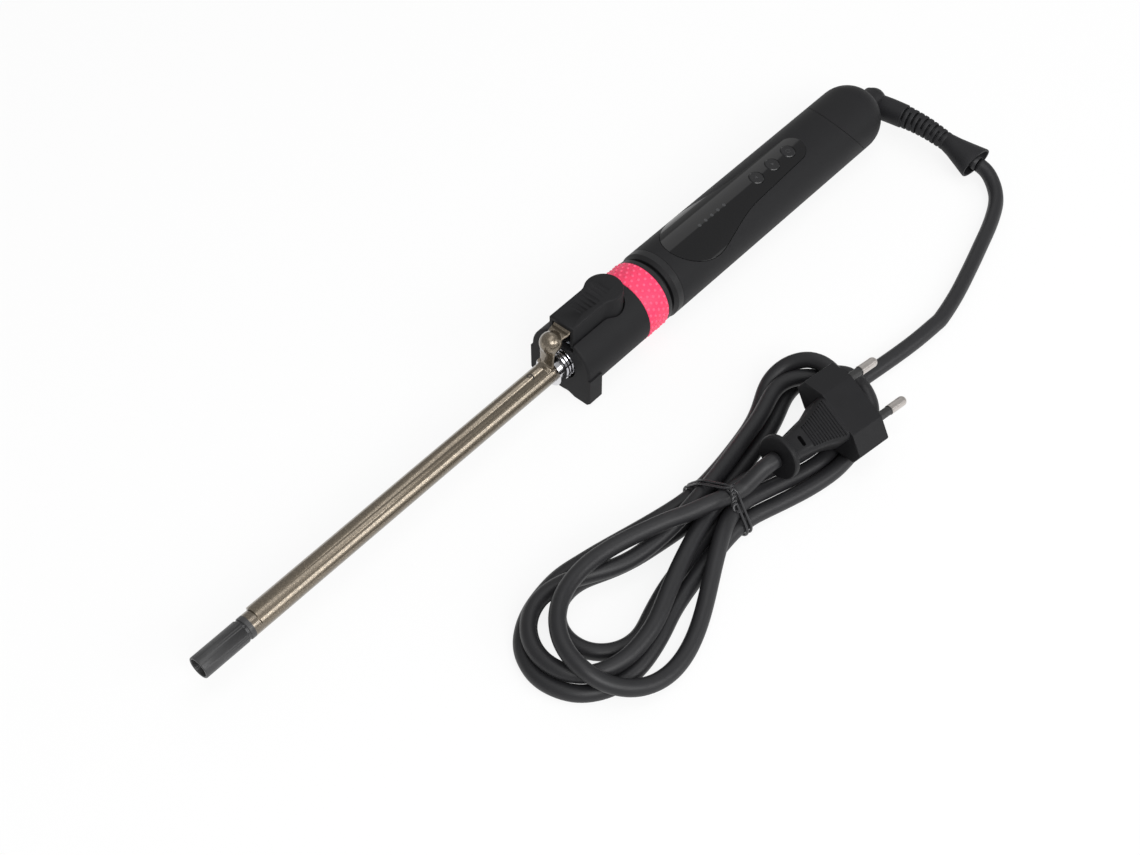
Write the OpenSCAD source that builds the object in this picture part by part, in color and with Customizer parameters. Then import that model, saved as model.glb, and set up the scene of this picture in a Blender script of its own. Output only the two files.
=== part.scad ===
// Small-barrel curling iron with a clamp, a twist-on barrel attachment and a swivel cord.
// It lies level along X, tip at -X, standing on its foot and on the round of its handle.

/* [Barrel] */
// Outside diameter of the heated barrel
barrel_d = 9; // [8.6:0.1:9.6]
// Wall of the barrel tube
barrel_wall = 0.8; // [0.6:0.1:1]
// Length of the cool tip that is held while winding
tip_len = 19.8; // [16:0.2:24]
// Wall of the cool tip round its open bore
tip_wall = 0.9; // [0.7:0.1:1.2]
// Bare barrel and clamp together, from the tip ring to the ferrule
barrel_len = 155.4; // [140:0.2:170]

/* [Clamp] */
// Sheet thickness of the clamp
clamp_t = 0.6; // [0.5:0.05:0.8]
// Half of the angle that the clamp wraps round the barrel
clamp_wrap = 72; // [60:1:80]
// Height of the clamp's tongue over the barrel axis
tongue_z = 18.6; // [18:0.1:19.2]
// How far the clamp opens
clamp_open = 15; // [10:1:16]

/* [Collar] */
// Diameter of the front housing
collar_d = 29.6; // [29:0.1:30]
// Length of the front housing, up to the grip ring
collar_len = 37; // [36:0.5:42]
// Wall of the front housing
collar_wall = 1.8; // [1.5:0.1:2.2]
// Thickness of the foot along the iron
foot_t = 7; // [5:0.5:9]
// Half width of the foot
foot_half = 15.4; // [15:0.1:17]
// Width of the rubber grip ring
ring_w = 11.8; // [9:0.2:14]

/* [Lever] */
// Half width of the lever's straight part
lever_half = 5.9; // [5.7:0.1:6.2]
// Radius of the round thumb pad
pad_r = 7.8; // [7.2:0.1:8]
// Distance from the housing's front to the middle of the thumb pad
pad_x = 25.4; // [24.5:0.1:26]
// Height of the lever's top over the barrel axis
lever_top = 21.7; // [21.4:0.1:22.4]
// Gap round the lever in its recess
lever_gap = 0.6; // [0.5:0.05:0.8]

/* [Handle] */
// Diameter of the handle
handle_d = 30; // [30:0.1:31]
// Wall of the handle sleeve
sleeve_wall = 1.8; // [1.6:0.1:2]
// Length from the handle's front lip to the start of its round end
handle_len = 136.4; // [134:0.2:145]
// How far the control panel sits round from the lever's plane
panel_turn = 8.5; // [0:0.5:12]
// Length of the control panel
panel_len = 88; // [86:0.5:92]
// Half width of the panel's wide end
panel_half = 12.6; // [11:0.1:12.6]
// Diameter of a push button
button_d = 6.4; // [6:0.1:6.8]
// Distance between push buttons
button_pitch = 10.8; // [10:0.1:12]
// Travel of a push button
button_travel = 0.5; // [0.3:0.05:0.6]

/* [Cord] */
// Diameter of the mains cord
cord_d = 6.4; // [5.8:0.1:6.6]
// Diameter of the strain relief
relief_d = 10.4; // [10:0.1:11]
// Length of the strain relief
relief_len = 52; // [50:0.5:53]

/* [Hidden] */

$fn = 64;
small_fn = 24;
cut = 1;                       // overrun of every cutting solid
fit = 0.05;                    // radial clearance of pieces assembled in one body
run = 0.08;                    // radial clearance of a turning pair
seam = 0.15;                   // gap along a visible seam

// Stations along the axis, from the tip at 0
barrel_r = barrel_d / 2;
bore_r = barrel_r - barrel_wall;
tip_groove = 1;
tip_ring_x = tip_len + tip_groove;
tip_ring_w = 2;
barrel_x = tip_ring_x + tip_ring_w;
ferrule_x = barrel_x + barrel_len;
ferrule_len = 12.6;
housing_x = ferrule_x + 7;
bush_x = housing_x + 12.4;
bush_t = 5.4;
barrel_end_x = bush_x + bush_t + 1.6;
ring_x = housing_x + collar_len;
rim_x = ring_x + ring_w;
rim_w = 2;
lip_x = rim_x + rim_w + 2.4;   // front lip of the handle, behind a dark groove
sleeve_x = lip_x + 4.7;
dome_x = lip_x + handle_len;   // centre of the half-round end
handle_r = handle_d / 2;
sleeve_r = handle_r - sleeve_wall;
cap_end_x = dome_x + handle_r;
elbow_x = cap_end_x + 6;       // line of the strain relief
hub_x = elbow_x - 0.4;
hub_r = 5.8;
x_mid = (hub_x + hub_r) / 2;
collar_r = collar_d / 2;

// Clamp and lever
clamp_gap = 0.2;
clamp_in_r = barrel_r + clamp_gap;
clamp_r = clamp_in_r + clamp_t;
clamp_x = barrel_x + 2.4;
clamp_end_x = ferrule_x - 0.6;
neck_half = 3.6;
neck_t = 0.9;
tongue_t = 1;
tongue_len = 24;
tongue_half = 4.2;
lever_wall = 1.3;
lever_plate = lever_top - tongue_z - tongue_t - 0.05;
lever_low = 10.8;
lever_x = housing_x + 0.6;
hinge_x = housing_x + 4.8;
hinge_z = 16;
pin_hide = 0.6;                // lever wall left outside the pin's ends
hinge_r = 1;
waist_x = housing_x + 17;
screw_xs = [housing_x + 11, housing_x + 18];

// Twist lock
lock_turn = 30;
lug_half = 12;
lug_xs = [sleeve_x + 3.4, sleeve_x + 6.2];
drum_r = 10.4;
lug_r = 12;
neck_r = 11.8;
drum_end_x = sleeve_x + 9;
block_x = sleeve_x + 13;
block_t = 10;
pin_r = 1.5;
ring_contact = [4.6, 5.3];

// Controls
panel_x = lip_x + 9.4;
panel_nose = 20;               // length of the panel's half-oval front
strip_half = 7.3;
strip_end_half = 6.2;
strip_x = panel_x + 53;
panel_proud = 0.15;
panel_in = 1.7;
flange_t = 0.8;
flange_out = 1.2;
button_r = button_d / 2;
button_x = panel_x + panel_len - 9 - 2 * button_pitch;
button_top = handle_r + 0.3;
led_x = panel_x + 19.8;
led_pitch = 3.95;
board_x = block_x + block_t + 4;
board_end_x = panel_x + panel_len + 10;
board_z = 5;
board_t = 1.6;
board_half = 9.4;
switch_h = 3.4;
stem_gap = button_travel + 0.1;
post_xs = [board_x + 3, board_end_x - 7];
lead_y = 3;
relay = [14, 10, 8];
capacitor = [14, 8];            // length, diameter
switching = [9, 9, 3];

// Rounded end and swivel
seam_x = lip_x + 116;          // top of the slanted seam of the end cap
seam_slope = 39.7;
shaft_r = 5;
shaft_x = dome_x - 5;
shaft_flange_r = 7.4;
shaft_flange = [dome_x + 7, dome_x + 8.8];
boss_r = 8.2;
holder = [dome_x - 13, dome_x + 6.8];
slip_r = 5.8;
slip_xs = [dome_x - 2.4, dome_x + 2.6];
slip_w = 2.4;
axis_h = handle_r;             // height of the axis over what the iron lies on
relief_z = -4.9;
relief_y = 2.6;
relief_plain = 12.6;
relief_ribs = 23;
relief_wide = 8.8;
relief_high = 4.7;
relief_droop = 2.5;
lead_r = cord_d / 2;

// ---------------------------------------------------------------- helpers

// Whole iron: from axis coordinates to the frame with its origin under the middle
module placed() { translate([-x_mid, 0, axis_h]) children(); }

// Pieces that follow the control panel round the axis
module turned_handle() { placed() rotate([panel_turn, 0, 0]) children(); }

// Straight round piece along the axis
module rod(x0, x1, r) { translate([x0, 0, 0]) rotate([0, 90, 0]) cylinder(h = x1 - x0, r = r); }

module pipe(x0, x1, r_in, r_out) {
  difference() {
    rod(x0, x1, r_out);
    rod(x0 - cut, x1 + cut, r_in);
  }
}

// Turned piece, from points [radius, x]
module lathe(points) { rotate([0, 90, 0]) rotate_extrude() polygon(points); }

// Part of a ring, from angle a0 to a1 measured from +Y towards +Z
module sector(x0, x1, r_in, r_out, a0, a1) {
  translate([x0, 0, 0]) rotate([0, 90, 0]) rotate([0, 0, 90 + a0])
    rotate_extrude(angle = a1 - a0) translate([r_in, 0]) square([r_out - r_in, x1 - x0]);
}

// Points of an arc round a centre
function arc(c, r, a0, a1, n) =
  [for (i = [0:n]) let (a = a0 + (a1 - a0) * i / n) [c[0] + r * cos(a), c[1] + r * sin(a)]];

// Mirror image of a one-sided outline across its X axis, joined into a closed loop
function both_sides(half) =
  concat(half, [for (i = [len(half) - 1:-1:0]) if (half[i][1] > 0.001) [half[i][0], -half[i][1]]]);

// Catmull-Rom point on a route, for a whole-number span i and a share t of it
function spline(p, i, t) =
  let (a = p[max(i - 1, 0)], b = p[i], c = p[i + 1], d = p[min(i + 2, len(p) - 1)])
  0.5 * (2 * b + (c - a) * t + (2 * a - 5 * b + 4 * c - d) * t * t + (3 * b - a - 3 * c + d) * t * t * t);

function unit(v) = v / norm(v);

// Round cord or wire swept along a route of points; its rings turn about the given direction
module cord(route, r, per_span = 1, sides = 10, up = [0, 0, 1]) {
  path = concat(
    [for (i = [0:len(route) - 2]) for (j = [0:per_span - 1]) spline(route, i, j / per_span)],
    [route[len(route) - 1]]);
  n = len(path);
  dirs = [for (i = [0:n - 1]) unit(path[min(i + 1, n - 1)] - path[max(i - 1, 0)])];
  points = [for (i = [0:n - 1])
    let (side = unit(cross(up, dirs[i])), over = cross(dirs[i], side))
    for (k = [0:sides - 1]) path[i] + r * (cos(360 * k / sides) * side + sin(360 * k / sides) * over)];
  walls = [for (i = [0:n - 2]) for (k = [0:sides - 1])
    let (k1 = (k + 1) % sides)
    [i * sides + k, i * sides + k1, (i + 1) * sides + k1, (i + 1) * sides + k]];
  polyhedron(points, concat(
    [[for (k = [sides - 1:-1:0]) k]], walls, [[for (k = [0:sides - 1]) (n - 1) * sides + k]]));
}

// ---------------------------------------------------------------- barrel

// Hollow plastic tip with a rounded rim, a groove and a plug that fills the barrel's end
module cool_tip() {
  rim = 0.4;
  spigot_end = barrel_x + 7;
  tip_bore = barrel_r - tip_wall;
  color("#454646") placed() lathe(concat(
    [[tip_bore, tip_len - 2.4], [tip_bore, rim]],
    arc([tip_bore + rim, rim], rim, 180, 270, 4),
    arc([barrel_r - rim, rim], rim, 270, 360, 4),
    [[barrel_r, tip_len - 0.2], [barrel_r - 0.35, tip_len], [barrel_r - 0.35, tip_ring_x],
     [bore_r - fit, tip_ring_x], [bore_r - fit, spigot_end], [1, spigot_end], [1, tip_len]]));
}

module tip_ring() {
  bevel = 0.25;
  color("#3a3b3b") placed() lathe([
    [bore_r, tip_ring_x], [barrel_r - bevel, tip_ring_x], [barrel_r, tip_ring_x + bevel],
    [barrel_r, barrel_x], [bore_r, barrel_x]]);
}

module barrel_tube() { color("#6b5d50") placed() pipe(barrel_x, barrel_end_x, bore_r, barrel_r); }

module insulation_sleeve() {
  color("#d8cfb8") placed() pipe(barrel_x + 12, ferrule_x, bore_r - 0.9, bore_r - fit);
}

module heater_core() {
  color("#efece4") placed() pipe(barrel_x + 12, ferrule_x - 2, 0.5, bore_r - 0.9 - fit);
}

// Capsule between the heater and its leads
module thermal_fuse() {
  color("#c9cdd0") placed() {
    rod(ferrule_x + 6, ferrule_x + 16, 1.3);
    rod(ferrule_x - 2, ferrule_x + 6, 0.5);
    rod(ferrule_x + 16, barrel_end_x, 0.5);
  }
}

// Plated ferrule with turned rings, where the barrel enters the housing
module barrel_ferrule() {
  ring_r = barrel_r + 1.9;
  tube_r = barrel_r + 1.4;
  groove_r = barrel_r + 1.5;
  rib_w = 0.7;
  color("#d6d7d9") placed() difference() {
    union() {
      rod(ferrule_x + 0.2, ferrule_x + ferrule_len, tube_r);
      rod(ferrule_x + 0.2, ferrule_x + 3.6, ring_r);
      for (i = [0:3]) translate([i * 1.5, 0, 0])
        rod(ferrule_x + 4.8, ferrule_x + 4.8 + rib_w, groove_r + 0.5);
    }
    rod(ferrule_x - cut, ferrule_x + ferrule_len + cut, barrel_r + fit);
  }
}

// Saddle on the barrel with two ears that carry the hinge pin
module hinge_bracket() {
  ear_t = 1;
  ear_y = lever_half - lever_wall - 0.2 - ear_t;
  saddle_x = ferrule_x + ferrule_len + 0.1;
  saddle_end = bush_x - 0.1;
  ear_low = barrel_r + 2.2;
  color("#b9bcc0") placed() difference() {
    union() {
      rod(saddle_x, saddle_end, barrel_r + 2);
      for (side = [0, 1]) mirror([0, side, 0]) {
        translate([hinge_x, ear_y, hinge_z]) rotate([-90, 0, 0]) cylinder(h = ear_t, r = 2.3);
        translate([hinge_x - 1.6, ear_y, ear_low]) cube([saddle_end - hinge_x + 1.6, ear_t, hinge_z - ear_low]);
        translate([saddle_x, ear_y, 0]) cube([saddle_end - saddle_x, ear_t, ear_low + 1]);
      }
    }
    rod(saddle_x - cut, saddle_end + cut, barrel_r + fit);
    translate([hinge_x, -lever_half - cut, hinge_z]) rotate([-90, 0, 0])
      cylinder(h = 2 * (lever_half + cut), r = hinge_r + 0.02, $fn = 32);
  }
}

module hinge_pin() {
  half = lever_half - pin_hide - fit;
  color("#c4c7ca") placed() translate([hinge_x, -half, hinge_z]) rotate([-90, 0, 0])
    cylinder(h = 2 * half, r = hinge_r, $fn = 32);
}

// Coil round the hinge pin, with one leg under the tongue and one over the bracket's saddle
module torsion_spring() {
  wire_r = 0.45;
  coil_r = hinge_r + wire_r + 0.5;
  turns = 4.5;
  half = 2.4;
  leg = 3.6;
  steps = 54;
  color("#b4b7ba") placed() translate([hinge_x, 0, hinge_z]) cord(concat(
    [[leg, -half, tongue_z - hinge_z - wire_r - 0.1]],
    [for (i = [0:steps]) let (a = 90 + 360 * turns * i / steps)
      [coil_r * cos(a), -half + 2 * half * i / steps, coil_r * sin(a)]],
    [[leg, half, -coil_r]]), wire_r, 1, 6, [0, 1, 0]);
}

// ---------------------------------------------------------------- clamp and lever

// Pressed sheet clamp: a wrapped shell, a neck that rises to a domed shoulder, and a tongue
module clamp() {
  corner = 2.6;
  wrap_y = clamp_r * sin(clamp_wrap) + cut;
  half_flat = 3.4;
  shoulder_x = ferrule_x + 2.6;
  shoulder_r = 4.4;
  shoulder_z = tongue_z + tongue_t - shoulder_r;
  neck_x = clamp_end_x - neck_t / 2 - 0.3;
  color("#6f6356") placed() {
    intersection() {
      pipe(clamp_x, clamp_end_x, clamp_in_r, clamp_r);
      translate([0, 0, 0]) rotate([90, 0, 90]) linear_extrude(clamp_end_x + cut)
        polygon([[0, 0], [20 * sin(clamp_wrap), 20 * cos(clamp_wrap)], [20, 20], [-20, 20],
                 [-20 * sin(clamp_wrap), 20 * cos(clamp_wrap)]]);
      linear_extrude(20) polygon(concat(
        arc([clamp_x + corner, half_flat], clamp_r - half_flat, 180, 90, 6),
        [[clamp_end_x + cut, clamp_r], [clamp_end_x + cut, -clamp_r]],
        arc([clamp_x + corner, -half_flat], clamp_r - half_flat, 270, 180, 6)));
    }
    difference() {
      union() {
        hull() {
          translate([neck_x, 0, clamp_in_r + 0.1]) cube([neck_t, 2 * neck_half + 1, 0.6], center = true);
          translate([shoulder_x, 0, shoulder_z]) rotate([0, 90, 0])
            cylinder(h = neck_t, r = neck_half, center = true, $fn = 32);
        }
        translate([shoulder_x, 0, shoulder_z]) sphere(shoulder_r, $fn = 48);
      }
      rod(clamp_x, clamp_end_x + 5, clamp_in_r);
      translate([shoulder_x + 0.2, -10, 0]) cube([20, 20, tongue_z - tongue_t]);
    }
    difference() {
      translate([shoulder_x, -tongue_half, tongue_z]) cube([tongue_len, 2 * tongue_half, tongue_t]);
      for (x = screw_xs) translate([x, 0, tongue_z - cut]) cylinder(h = tongue_t + 2 * cut, r = 1, $fn = 32);
    }
  }
}

module clamp_screws() {
  color("#a9acb0") placed() for (x = screw_xs) translate([x, 0, 0]) {
    translate([0, 0, tongue_z - 0.9]) cylinder(h = 0.88, r = 1.8, $fn = 32);
    translate([0, 0, tongue_z - 0.9]) cylinder(h = 2.6, r = 0.95, $fn = 32);
  }
}

// One side of the lever seen from above, grown by a margin
function lever_half_outline(grow) =
  let (pad_c = housing_x + pad_x, r = pad_r + grow, w = lever_half + grow, blend = 6,
       dy = w + blend, dx = sqrt((r + blend) * (r + blend) - dy * dy), bx = pad_c - dx,
       a = atan2(dy, -dx))
  concat([[lever_x - (grow < 0 ? cut : 4 * grow), w]],
         arc([bx, dy], blend, 270, 180 + a, 5),
         arc([pad_c, 0], r, a, 0, 12));

module lever_plan(grow, h) { linear_extrude(h) polygon(both_sides(lever_half_outline(grow))); }

// Hollow thumb lever: a flat top with a ribbed grip and walls that reach down into the housing
module thumb_lever() {
  ribs = 8;
  color("#2b2b2c") placed() difference() {
    translate([0, 0, lever_low]) lever_plan(0, lever_top - lever_low);
    translate([0, 0, lever_low - cut]) lever_plan(-lever_wall, lever_top - lever_plate - lever_low + cut);
    for (i = [0:ribs - 1]) let (x = housing_x + 9 + i * 2.3, w = 3.6 * sqrt(1 - pow((i - 3.5) / 5, 2)))
      translate([x, -w, lever_top - 0.3]) cube([0.9, 2 * w, cut]);
    for (x = screw_xs) translate([x, 0, tongue_z]) cylinder(h = 1.9, r = 1, $fn = 32);
    translate([hinge_x, pin_hide - lever_half, hinge_z]) rotate([-90, 0, 0])
      cylinder(h = 2 * (lever_half - pin_hide), r = hinge_r + 0.06, $fn = 32);
  }
}

// ---------------------------------------------------------------- front housing

// Front view of the foot, as points [y, z]
function foot_outline() =
  let (h = foot_half, low = -axis_h, toe = 1.6, arch_y = 7.4, arch = 1.4)
  [[h, -1], [h, low + toe], [h - toe, low], [arch_y, low], [arch_y - 3, low + arch * 0.8],
   [0, low + arch], [3 - arch_y, low + arch * 0.8], [-arch_y, low], [toe - h, low],
   [-h, low + toe], [-h, -1]];

// Round housing with a moulded foot, a hole for the ferrule, and the lever's recess
module front_housing() {
  nose = 0.9;
  in_r = collar_r - collar_wall;
  hub_r = collar_r - 1.5;
  hub_in = hub_r - 1.6;
  front_t = 2.2;
  hole_r = barrel_r + 3;
  boss_len = bush_x - housing_x - 0.1;
  color("#2d2d2e") placed() difference() {
    union() {
      lathe(concat([[0, housing_x]], arc([collar_r - nose, housing_x + nose], nose, 270, 360, 4),
                   [[collar_r, ring_x - 0.2], [hub_r, ring_x - 0.2], [hub_r, rim_x - 0.1], [0, rim_x - 0.1]]));
      translate([housing_x, 0, 0]) rotate([90, 0, 90]) linear_extrude(foot_t) polygon(foot_outline());
    }
    difference() {
      union() {
        rod(housing_x + front_t, ring_x - 2.4, in_r);
        rod(ring_x - 3, rim_x + cut, hub_in);
      }
      for (side = [-1, 1]) translate([0, side * 9.4, -5]) rod(housing_x + front_t - cut, housing_x + boss_len, 2.4);
    }
    for (side = [-1, 1]) translate([0, side * 9.4, -5]) rod(housing_x + front_t + 2, bush_x + cut, 1);
    rod(housing_x - cut, housing_x + front_t + cut, hole_r);
    translate([0, 0, lever_low - 1.2]) lever_plan(lever_gap, 12);
  }
}

// Heatproof disc that holds the barrel in the housing, flat on top under the lever
module barrel_bush() {
  color("#cfc9bd") placed() difference() {
    rod(bush_x, bush_x + bush_t, collar_r - collar_wall - fit);
    rod(bush_x - cut, bush_x + bush_t + cut, barrel_r + fit);
    translate([bush_x - cut, -20, 6.9]) cube([bush_t + 2 * cut, 40, 20]);
    for (side = [-1, 1]) translate([0, side * 9.4, -5]) rod(bush_x - cut, bush_x + bush_t + cut, 1.3);
  }
}

module bush_screws() {
  color("#a9acb0") placed() for (side = [-1, 1]) translate([0, side * 9.4, -5]) {
    rod(bush_x - 7, bush_x + bush_t + 0.05, 0.95);
    rod(bush_x + bush_t + 0.02, bush_x + bush_t + 1.5, 2);
  }
}

// Rubber grip band; its raised dots are left to the finish
module grip_ring() {
  lip = 0.5;
  in_r = collar_r - 1.5 + fit;
  out_r = collar_r - 0.1;
  color("#ee3f6c") placed() lathe([
    [in_r, ring_x], [out_r - lip, ring_x], [out_r, ring_x + lip],
    [out_r, rim_x - lip], [out_r - lip, rim_x], [in_r, rim_x]]);
}

// Rear closure of the attachment: rim, neck, drum with two lugs, and an end wall
module lock_plug() {
  spigot_r = collar_r - 1.5 - 1.6 - fit;
  hollow_r = 8;
  wall_x = drum_end_x - 3;
  color("#262627") placed() difference() {
    union() {
      rod(rim_x - 7, rim_x + 0.1, spigot_r);
      rod(rim_x + 0.05, rim_x + rim_w, collar_r - 0.2);
      rod(rim_x, sleeve_x - 2.2, neck_r);
      rod(rim_x, drum_end_x, drum_r);
      for (a = [0, 180]) sector(lug_xs[0], lug_xs[1], drum_r - 1, lug_r, a - lug_half, a + lug_half);
    }
    rod(rim_x - 7 - cut, wall_x, hollow_r);
    rod(wall_x - cut, drum_end_x + cut, pin_r + 0.02);
    pipe(drum_end_x - 2.05, drum_end_x + cut, ring_contact[0] - 0.02, ring_contact[1] + 0.02);
    for (side = [-1, 1]) translate([0, side * 3.2, 0]) rod(wall_x - cut, drum_end_x - 0.9, 0.75);
  }
}

// Coaxial plug contacts, a middle pin and a ring, which stay in touch while the lock turns
module contact_pins() {
  color("#c9a24a") placed() {
    rod(drum_end_x - 5, block_x + 7, pin_r);
    pipe(drum_end_x - 2, block_x + 4, ring_contact[0], ring_contact[1]);
  }
}

module barrel_leads() {
  color("#8c2a24") placed() for (side = [-1, 1])
    cord([[ferrule_x + 1, side * 2.2, 0], [bush_x, side * 2.2, 0], [barrel_end_x + 1, side * 2.2, 0],
          [ring_x - 6, side * 4, -2], [ring_x + 4, side * 4, -2], [drum_end_x - 9, side * 3.2, 0],
          [drum_end_x - 5, side * 3.2, 0], [drum_end_x - 1, side * 3.2, 0]], 0.7, 2, 8);
}

// ---------------------------------------------------------------- handle, front

// Room under the control panel, cut from what fills the front of the handle
module panel_room() {
  difference() {
    translate([0, 0, 3]) panel_prism(flange_out + 0.3);
    rod(panel_x - 10, block_x + block_t + cut, sleeve_r - 1);
  }
}

// Front lip of the handle, with the bore and the grooves that take the attachment's lugs
module socket_ring() {
  chamfer = 1.4;
  bore = drum_r + run;
  step_x = sleeve_x - 1.8;
  groove_r = lug_r + 0.12;
  side_gap = 0.2;
  reach = lug_half + 1;
  color("#2f2f30") placed() difference() {
    union() {
      lathe([[0, lip_x], [handle_r - chamfer, lip_x], [handle_r, lip_x + chamfer],
             [handle_r, sleeve_x - seam], [0, sleeve_x - seam]]);
      rod(sleeve_x - 1, block_x - 0.1, sleeve_r - fit);
    }
    rotate([panel_turn, 0, 0]) panel_room();
    rod(lip_x - cut, step_x, neck_r + 0.25);
    rod(lip_x, block_x + cut, bore);
    for (a = [0, 180]) {
      sector(lug_xs[0] - side_gap, lug_xs[1] + side_gap, bore - 1, groove_r, a - reach - lock_turn, a + reach);
      sector(step_x - cut, lug_xs[0], bore - 1, groove_r, a - reach - lock_turn, a + reach - lock_turn);
    }
  }
}

// Insulating block with the handle's half of the contacts
module contact_block() {
  color("#3b352c") turned_handle() difference() {
    rod(block_x, block_x + block_t, sleeve_r - fit);
    panel_room();
    rod(block_x - cut, block_x + 9, pin_r + 0.65);
    difference() {
      rod(block_x - cut, block_x + 6, ring_contact[1] + 0.65);
      rod(block_x - 2 * cut, block_x + 7, ring_contact[0] - 0.1);
    }
    for (side = [-1, 1]) translate([0, side * lead_y, -5.5]) rod(block_x + 7, block_x + block_t + cut, 0.85);
  }
}

module socket_contacts() {
  color("#c9a24a") placed() {
    pipe(block_x + 0.2, block_x + 9, pin_r + run, pin_r + 0.62);
    pipe(block_x + 0.2, block_x + 5.8, ring_contact[1] + run, ring_contact[1] + 0.62);
  }
}

module front_leads() {
  color("#8c2a24") turned_handle() for (side = [-1, 1])
    cord([[block_x + 7.5, side * lead_y, -5.5], [block_x + block_t + 0.5, side * lead_y, -5.5],
          [block_x + block_t + 2, side * lead_y, -5.5], [board_x + 1, side * lead_y, -1],
          [board_x + 3, side * lead_y, board_z - 0.9]], 0.8, 3, 8);
}

// ---------------------------------------------------------------- handle

// Everything behind the slanted seam of the end cap
module behind_seam(gap) {
  translate([seam_x, 0, handle_r]) rotate([0, -seam_slope, 0])
    translate([gap, -40, -80]) cube([120, 80, 110]);
}

// Half width of the panel at a distance from its wide end
function panel_width(t) =
  t < panel_nose ? panel_half * sqrt(1 - pow(1 - t / panel_nose, 2)) :
  t < strip_x - panel_x ? let (s = (t - panel_nose) / (strip_x - panel_x - panel_nose))
    strip_half + (panel_half - strip_half) * (1 + cos(180 * pow(s, 0.8))) / 2 :
  strip_half + (strip_end_half - strip_half) * (t - strip_x + panel_x) / (panel_len - strip_x + panel_x);

// Outline of the panel seen from above, shrunk or grown by a margin
function panel_outline(grow) =
  let (end_c = panel_len - strip_end_half)
  both_sides(concat(
    [for (i = [0:10]) let (t = panel_nose * (1 - cos(9 * i)))
      [panel_x + t - grow * cos(9 * i), panel_width(t) + grow * sin(9 * i)]],
    [for (i = [1:12]) let (t = panel_nose + (strip_x - panel_x - panel_nose) * i / 12)
      [panel_x + t, panel_width(t) + grow]],
    arc([panel_x + end_c, 0], strip_end_half + grow, 90, 0, 8)));

module panel_prism(grow) { linear_extrude(40) polygon(panel_outline(grow)); }

module handle_sleeve() {
  color("#2e2e2f") turned_handle() difference() {
    pipe(sleeve_x, dome_x + handle_r, sleeve_r, handle_r);
    behind_seam(0);
    translate([0, 0, 3]) panel_prism(seam);
  }
}

// Glossy inlay with a flange that holds it inside the sleeve's window
module control_panel() {
  hole_r = button_r + 0.15;
  color("#101012") turned_handle() difference() {
    union() {
      intersection() {
        pipe(panel_x - cut, panel_x + panel_len + cut, sleeve_r - flange_t, handle_r + panel_proud);
        translate([0, 0, 3]) panel_prism(0);
      }
      intersection() {
        pipe(panel_x - 2 * flange_out, panel_x + panel_len + 2 * flange_out,
             sleeve_r - 0.1 - flange_t, sleeve_r - 0.1);
        translate([0, 0, 3]) panel_prism(flange_out);
      }
    }
    for (i = [0:2]) translate([button_x + i * button_pitch, 0, 0]) cylinder(h = 40, r = hole_r);
    for (i = [0:4]) translate([led_x + i * led_pitch, 0, 0]) cylinder(h = 40, r = 0.8, $fn = small_fn);
  }
}

// Round key with a retaining flange and a stem that reaches its switch
module push_button(i) {
  flange_z = sleeve_r - 0.1 - flange_t - button_travel - 1.1;
  stem_z = board_z + board_t + switch_h + stem_gap;
  color("#1b1b1d") turned_handle() translate([button_x + i * button_pitch, 0, 0]) {
    translate([0, 0, flange_z]) cylinder(h = button_top - flange_z - 0.3, r = button_r);
    translate([0, 0, button_top - 0.3]) cylinder(h = 0.3, r1 = button_r, r2 = button_r - 0.3);
    translate([0, 0, flange_z]) cylinder(h = 0.7, r = button_r + 0.7);
    translate([0, 0, stem_z]) cylinder(h = flange_z - stem_z, r = 1.2, $fn = 32);
  }
}

module power_button() { push_button(2); }
module heat_up_button() { push_button(1); }
module heat_down_button() { push_button(0); }

module button_switches() {
  base = 6;
  color("#4a4d50") turned_handle() for (i = [0:2])
    translate([button_x + i * button_pitch, 0, board_z + board_t]) {
      translate([-base / 2, -base / 2, 0]) cube([base, base, switch_h - 0.8]);
      translate([0, 0, switch_h - 0.8]) cylinder(h = 0.8, r = 1.6, $fn = 32);
    }
}

module indicator_leds() {
  color("#d9dde0") turned_handle() for (i = [0:4])
    translate([led_x + i * led_pitch, 0, board_z + board_t]) {
      translate([-0.8, -0.6, 0]) cube([1.6, 1.2, 0.7]);
      translate([0, 0, 0.7]) cylinder(h = 0.4, r = 0.5, $fn = small_fn);
    }
}

// Light guides from above the indicators to flush with the panel
module light_windows() {
  base_z = board_z + board_t + 1.4;
  color("#5a5d60") turned_handle() for (i = [0:4])
    translate([led_x + i * led_pitch, 0, base_z])
      cylinder(h = handle_r + panel_proud - base_z, r = 0.78, $fn = small_fn);
}

module circuit_board() {
  color("#1f5b3a") turned_handle() difference() {
    translate([board_x, -board_half, board_z]) cube([board_end_x - board_x, 2 * board_half, board_t]);
    for (x = post_xs) translate([x, 0, 0]) for (side = [-1, 1])
      translate([0, side * 6.6, 0]) cylinder(h = 20, r = 1.05, $fn = small_fn);
  }
}

// Trough under the board, with four posts that carry it
module board_tray() {
  tray_r = sleeve_r - fit;
  wall = 1.5;
  color("#55585a") turned_handle() {
    difference() {
      pipe(board_x - 2, board_end_x + 2, tray_r - wall, tray_r);
      translate([board_x - 10, -20, 2]) cube([board_end_x - board_x + 20, 40, 30]);
    }
    for (x = post_xs) for (side = [-1, 1]) translate([x, side * 6.6, 0]) difference() {
      translate([-2, -2, -9.6]) cube([4, 4, board_z + 9.6]);
      translate([0, 0, board_z - 5]) cylinder(h = 5 + cut, r = 0.85, $fn = small_fn);
    }
  }
}

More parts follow.
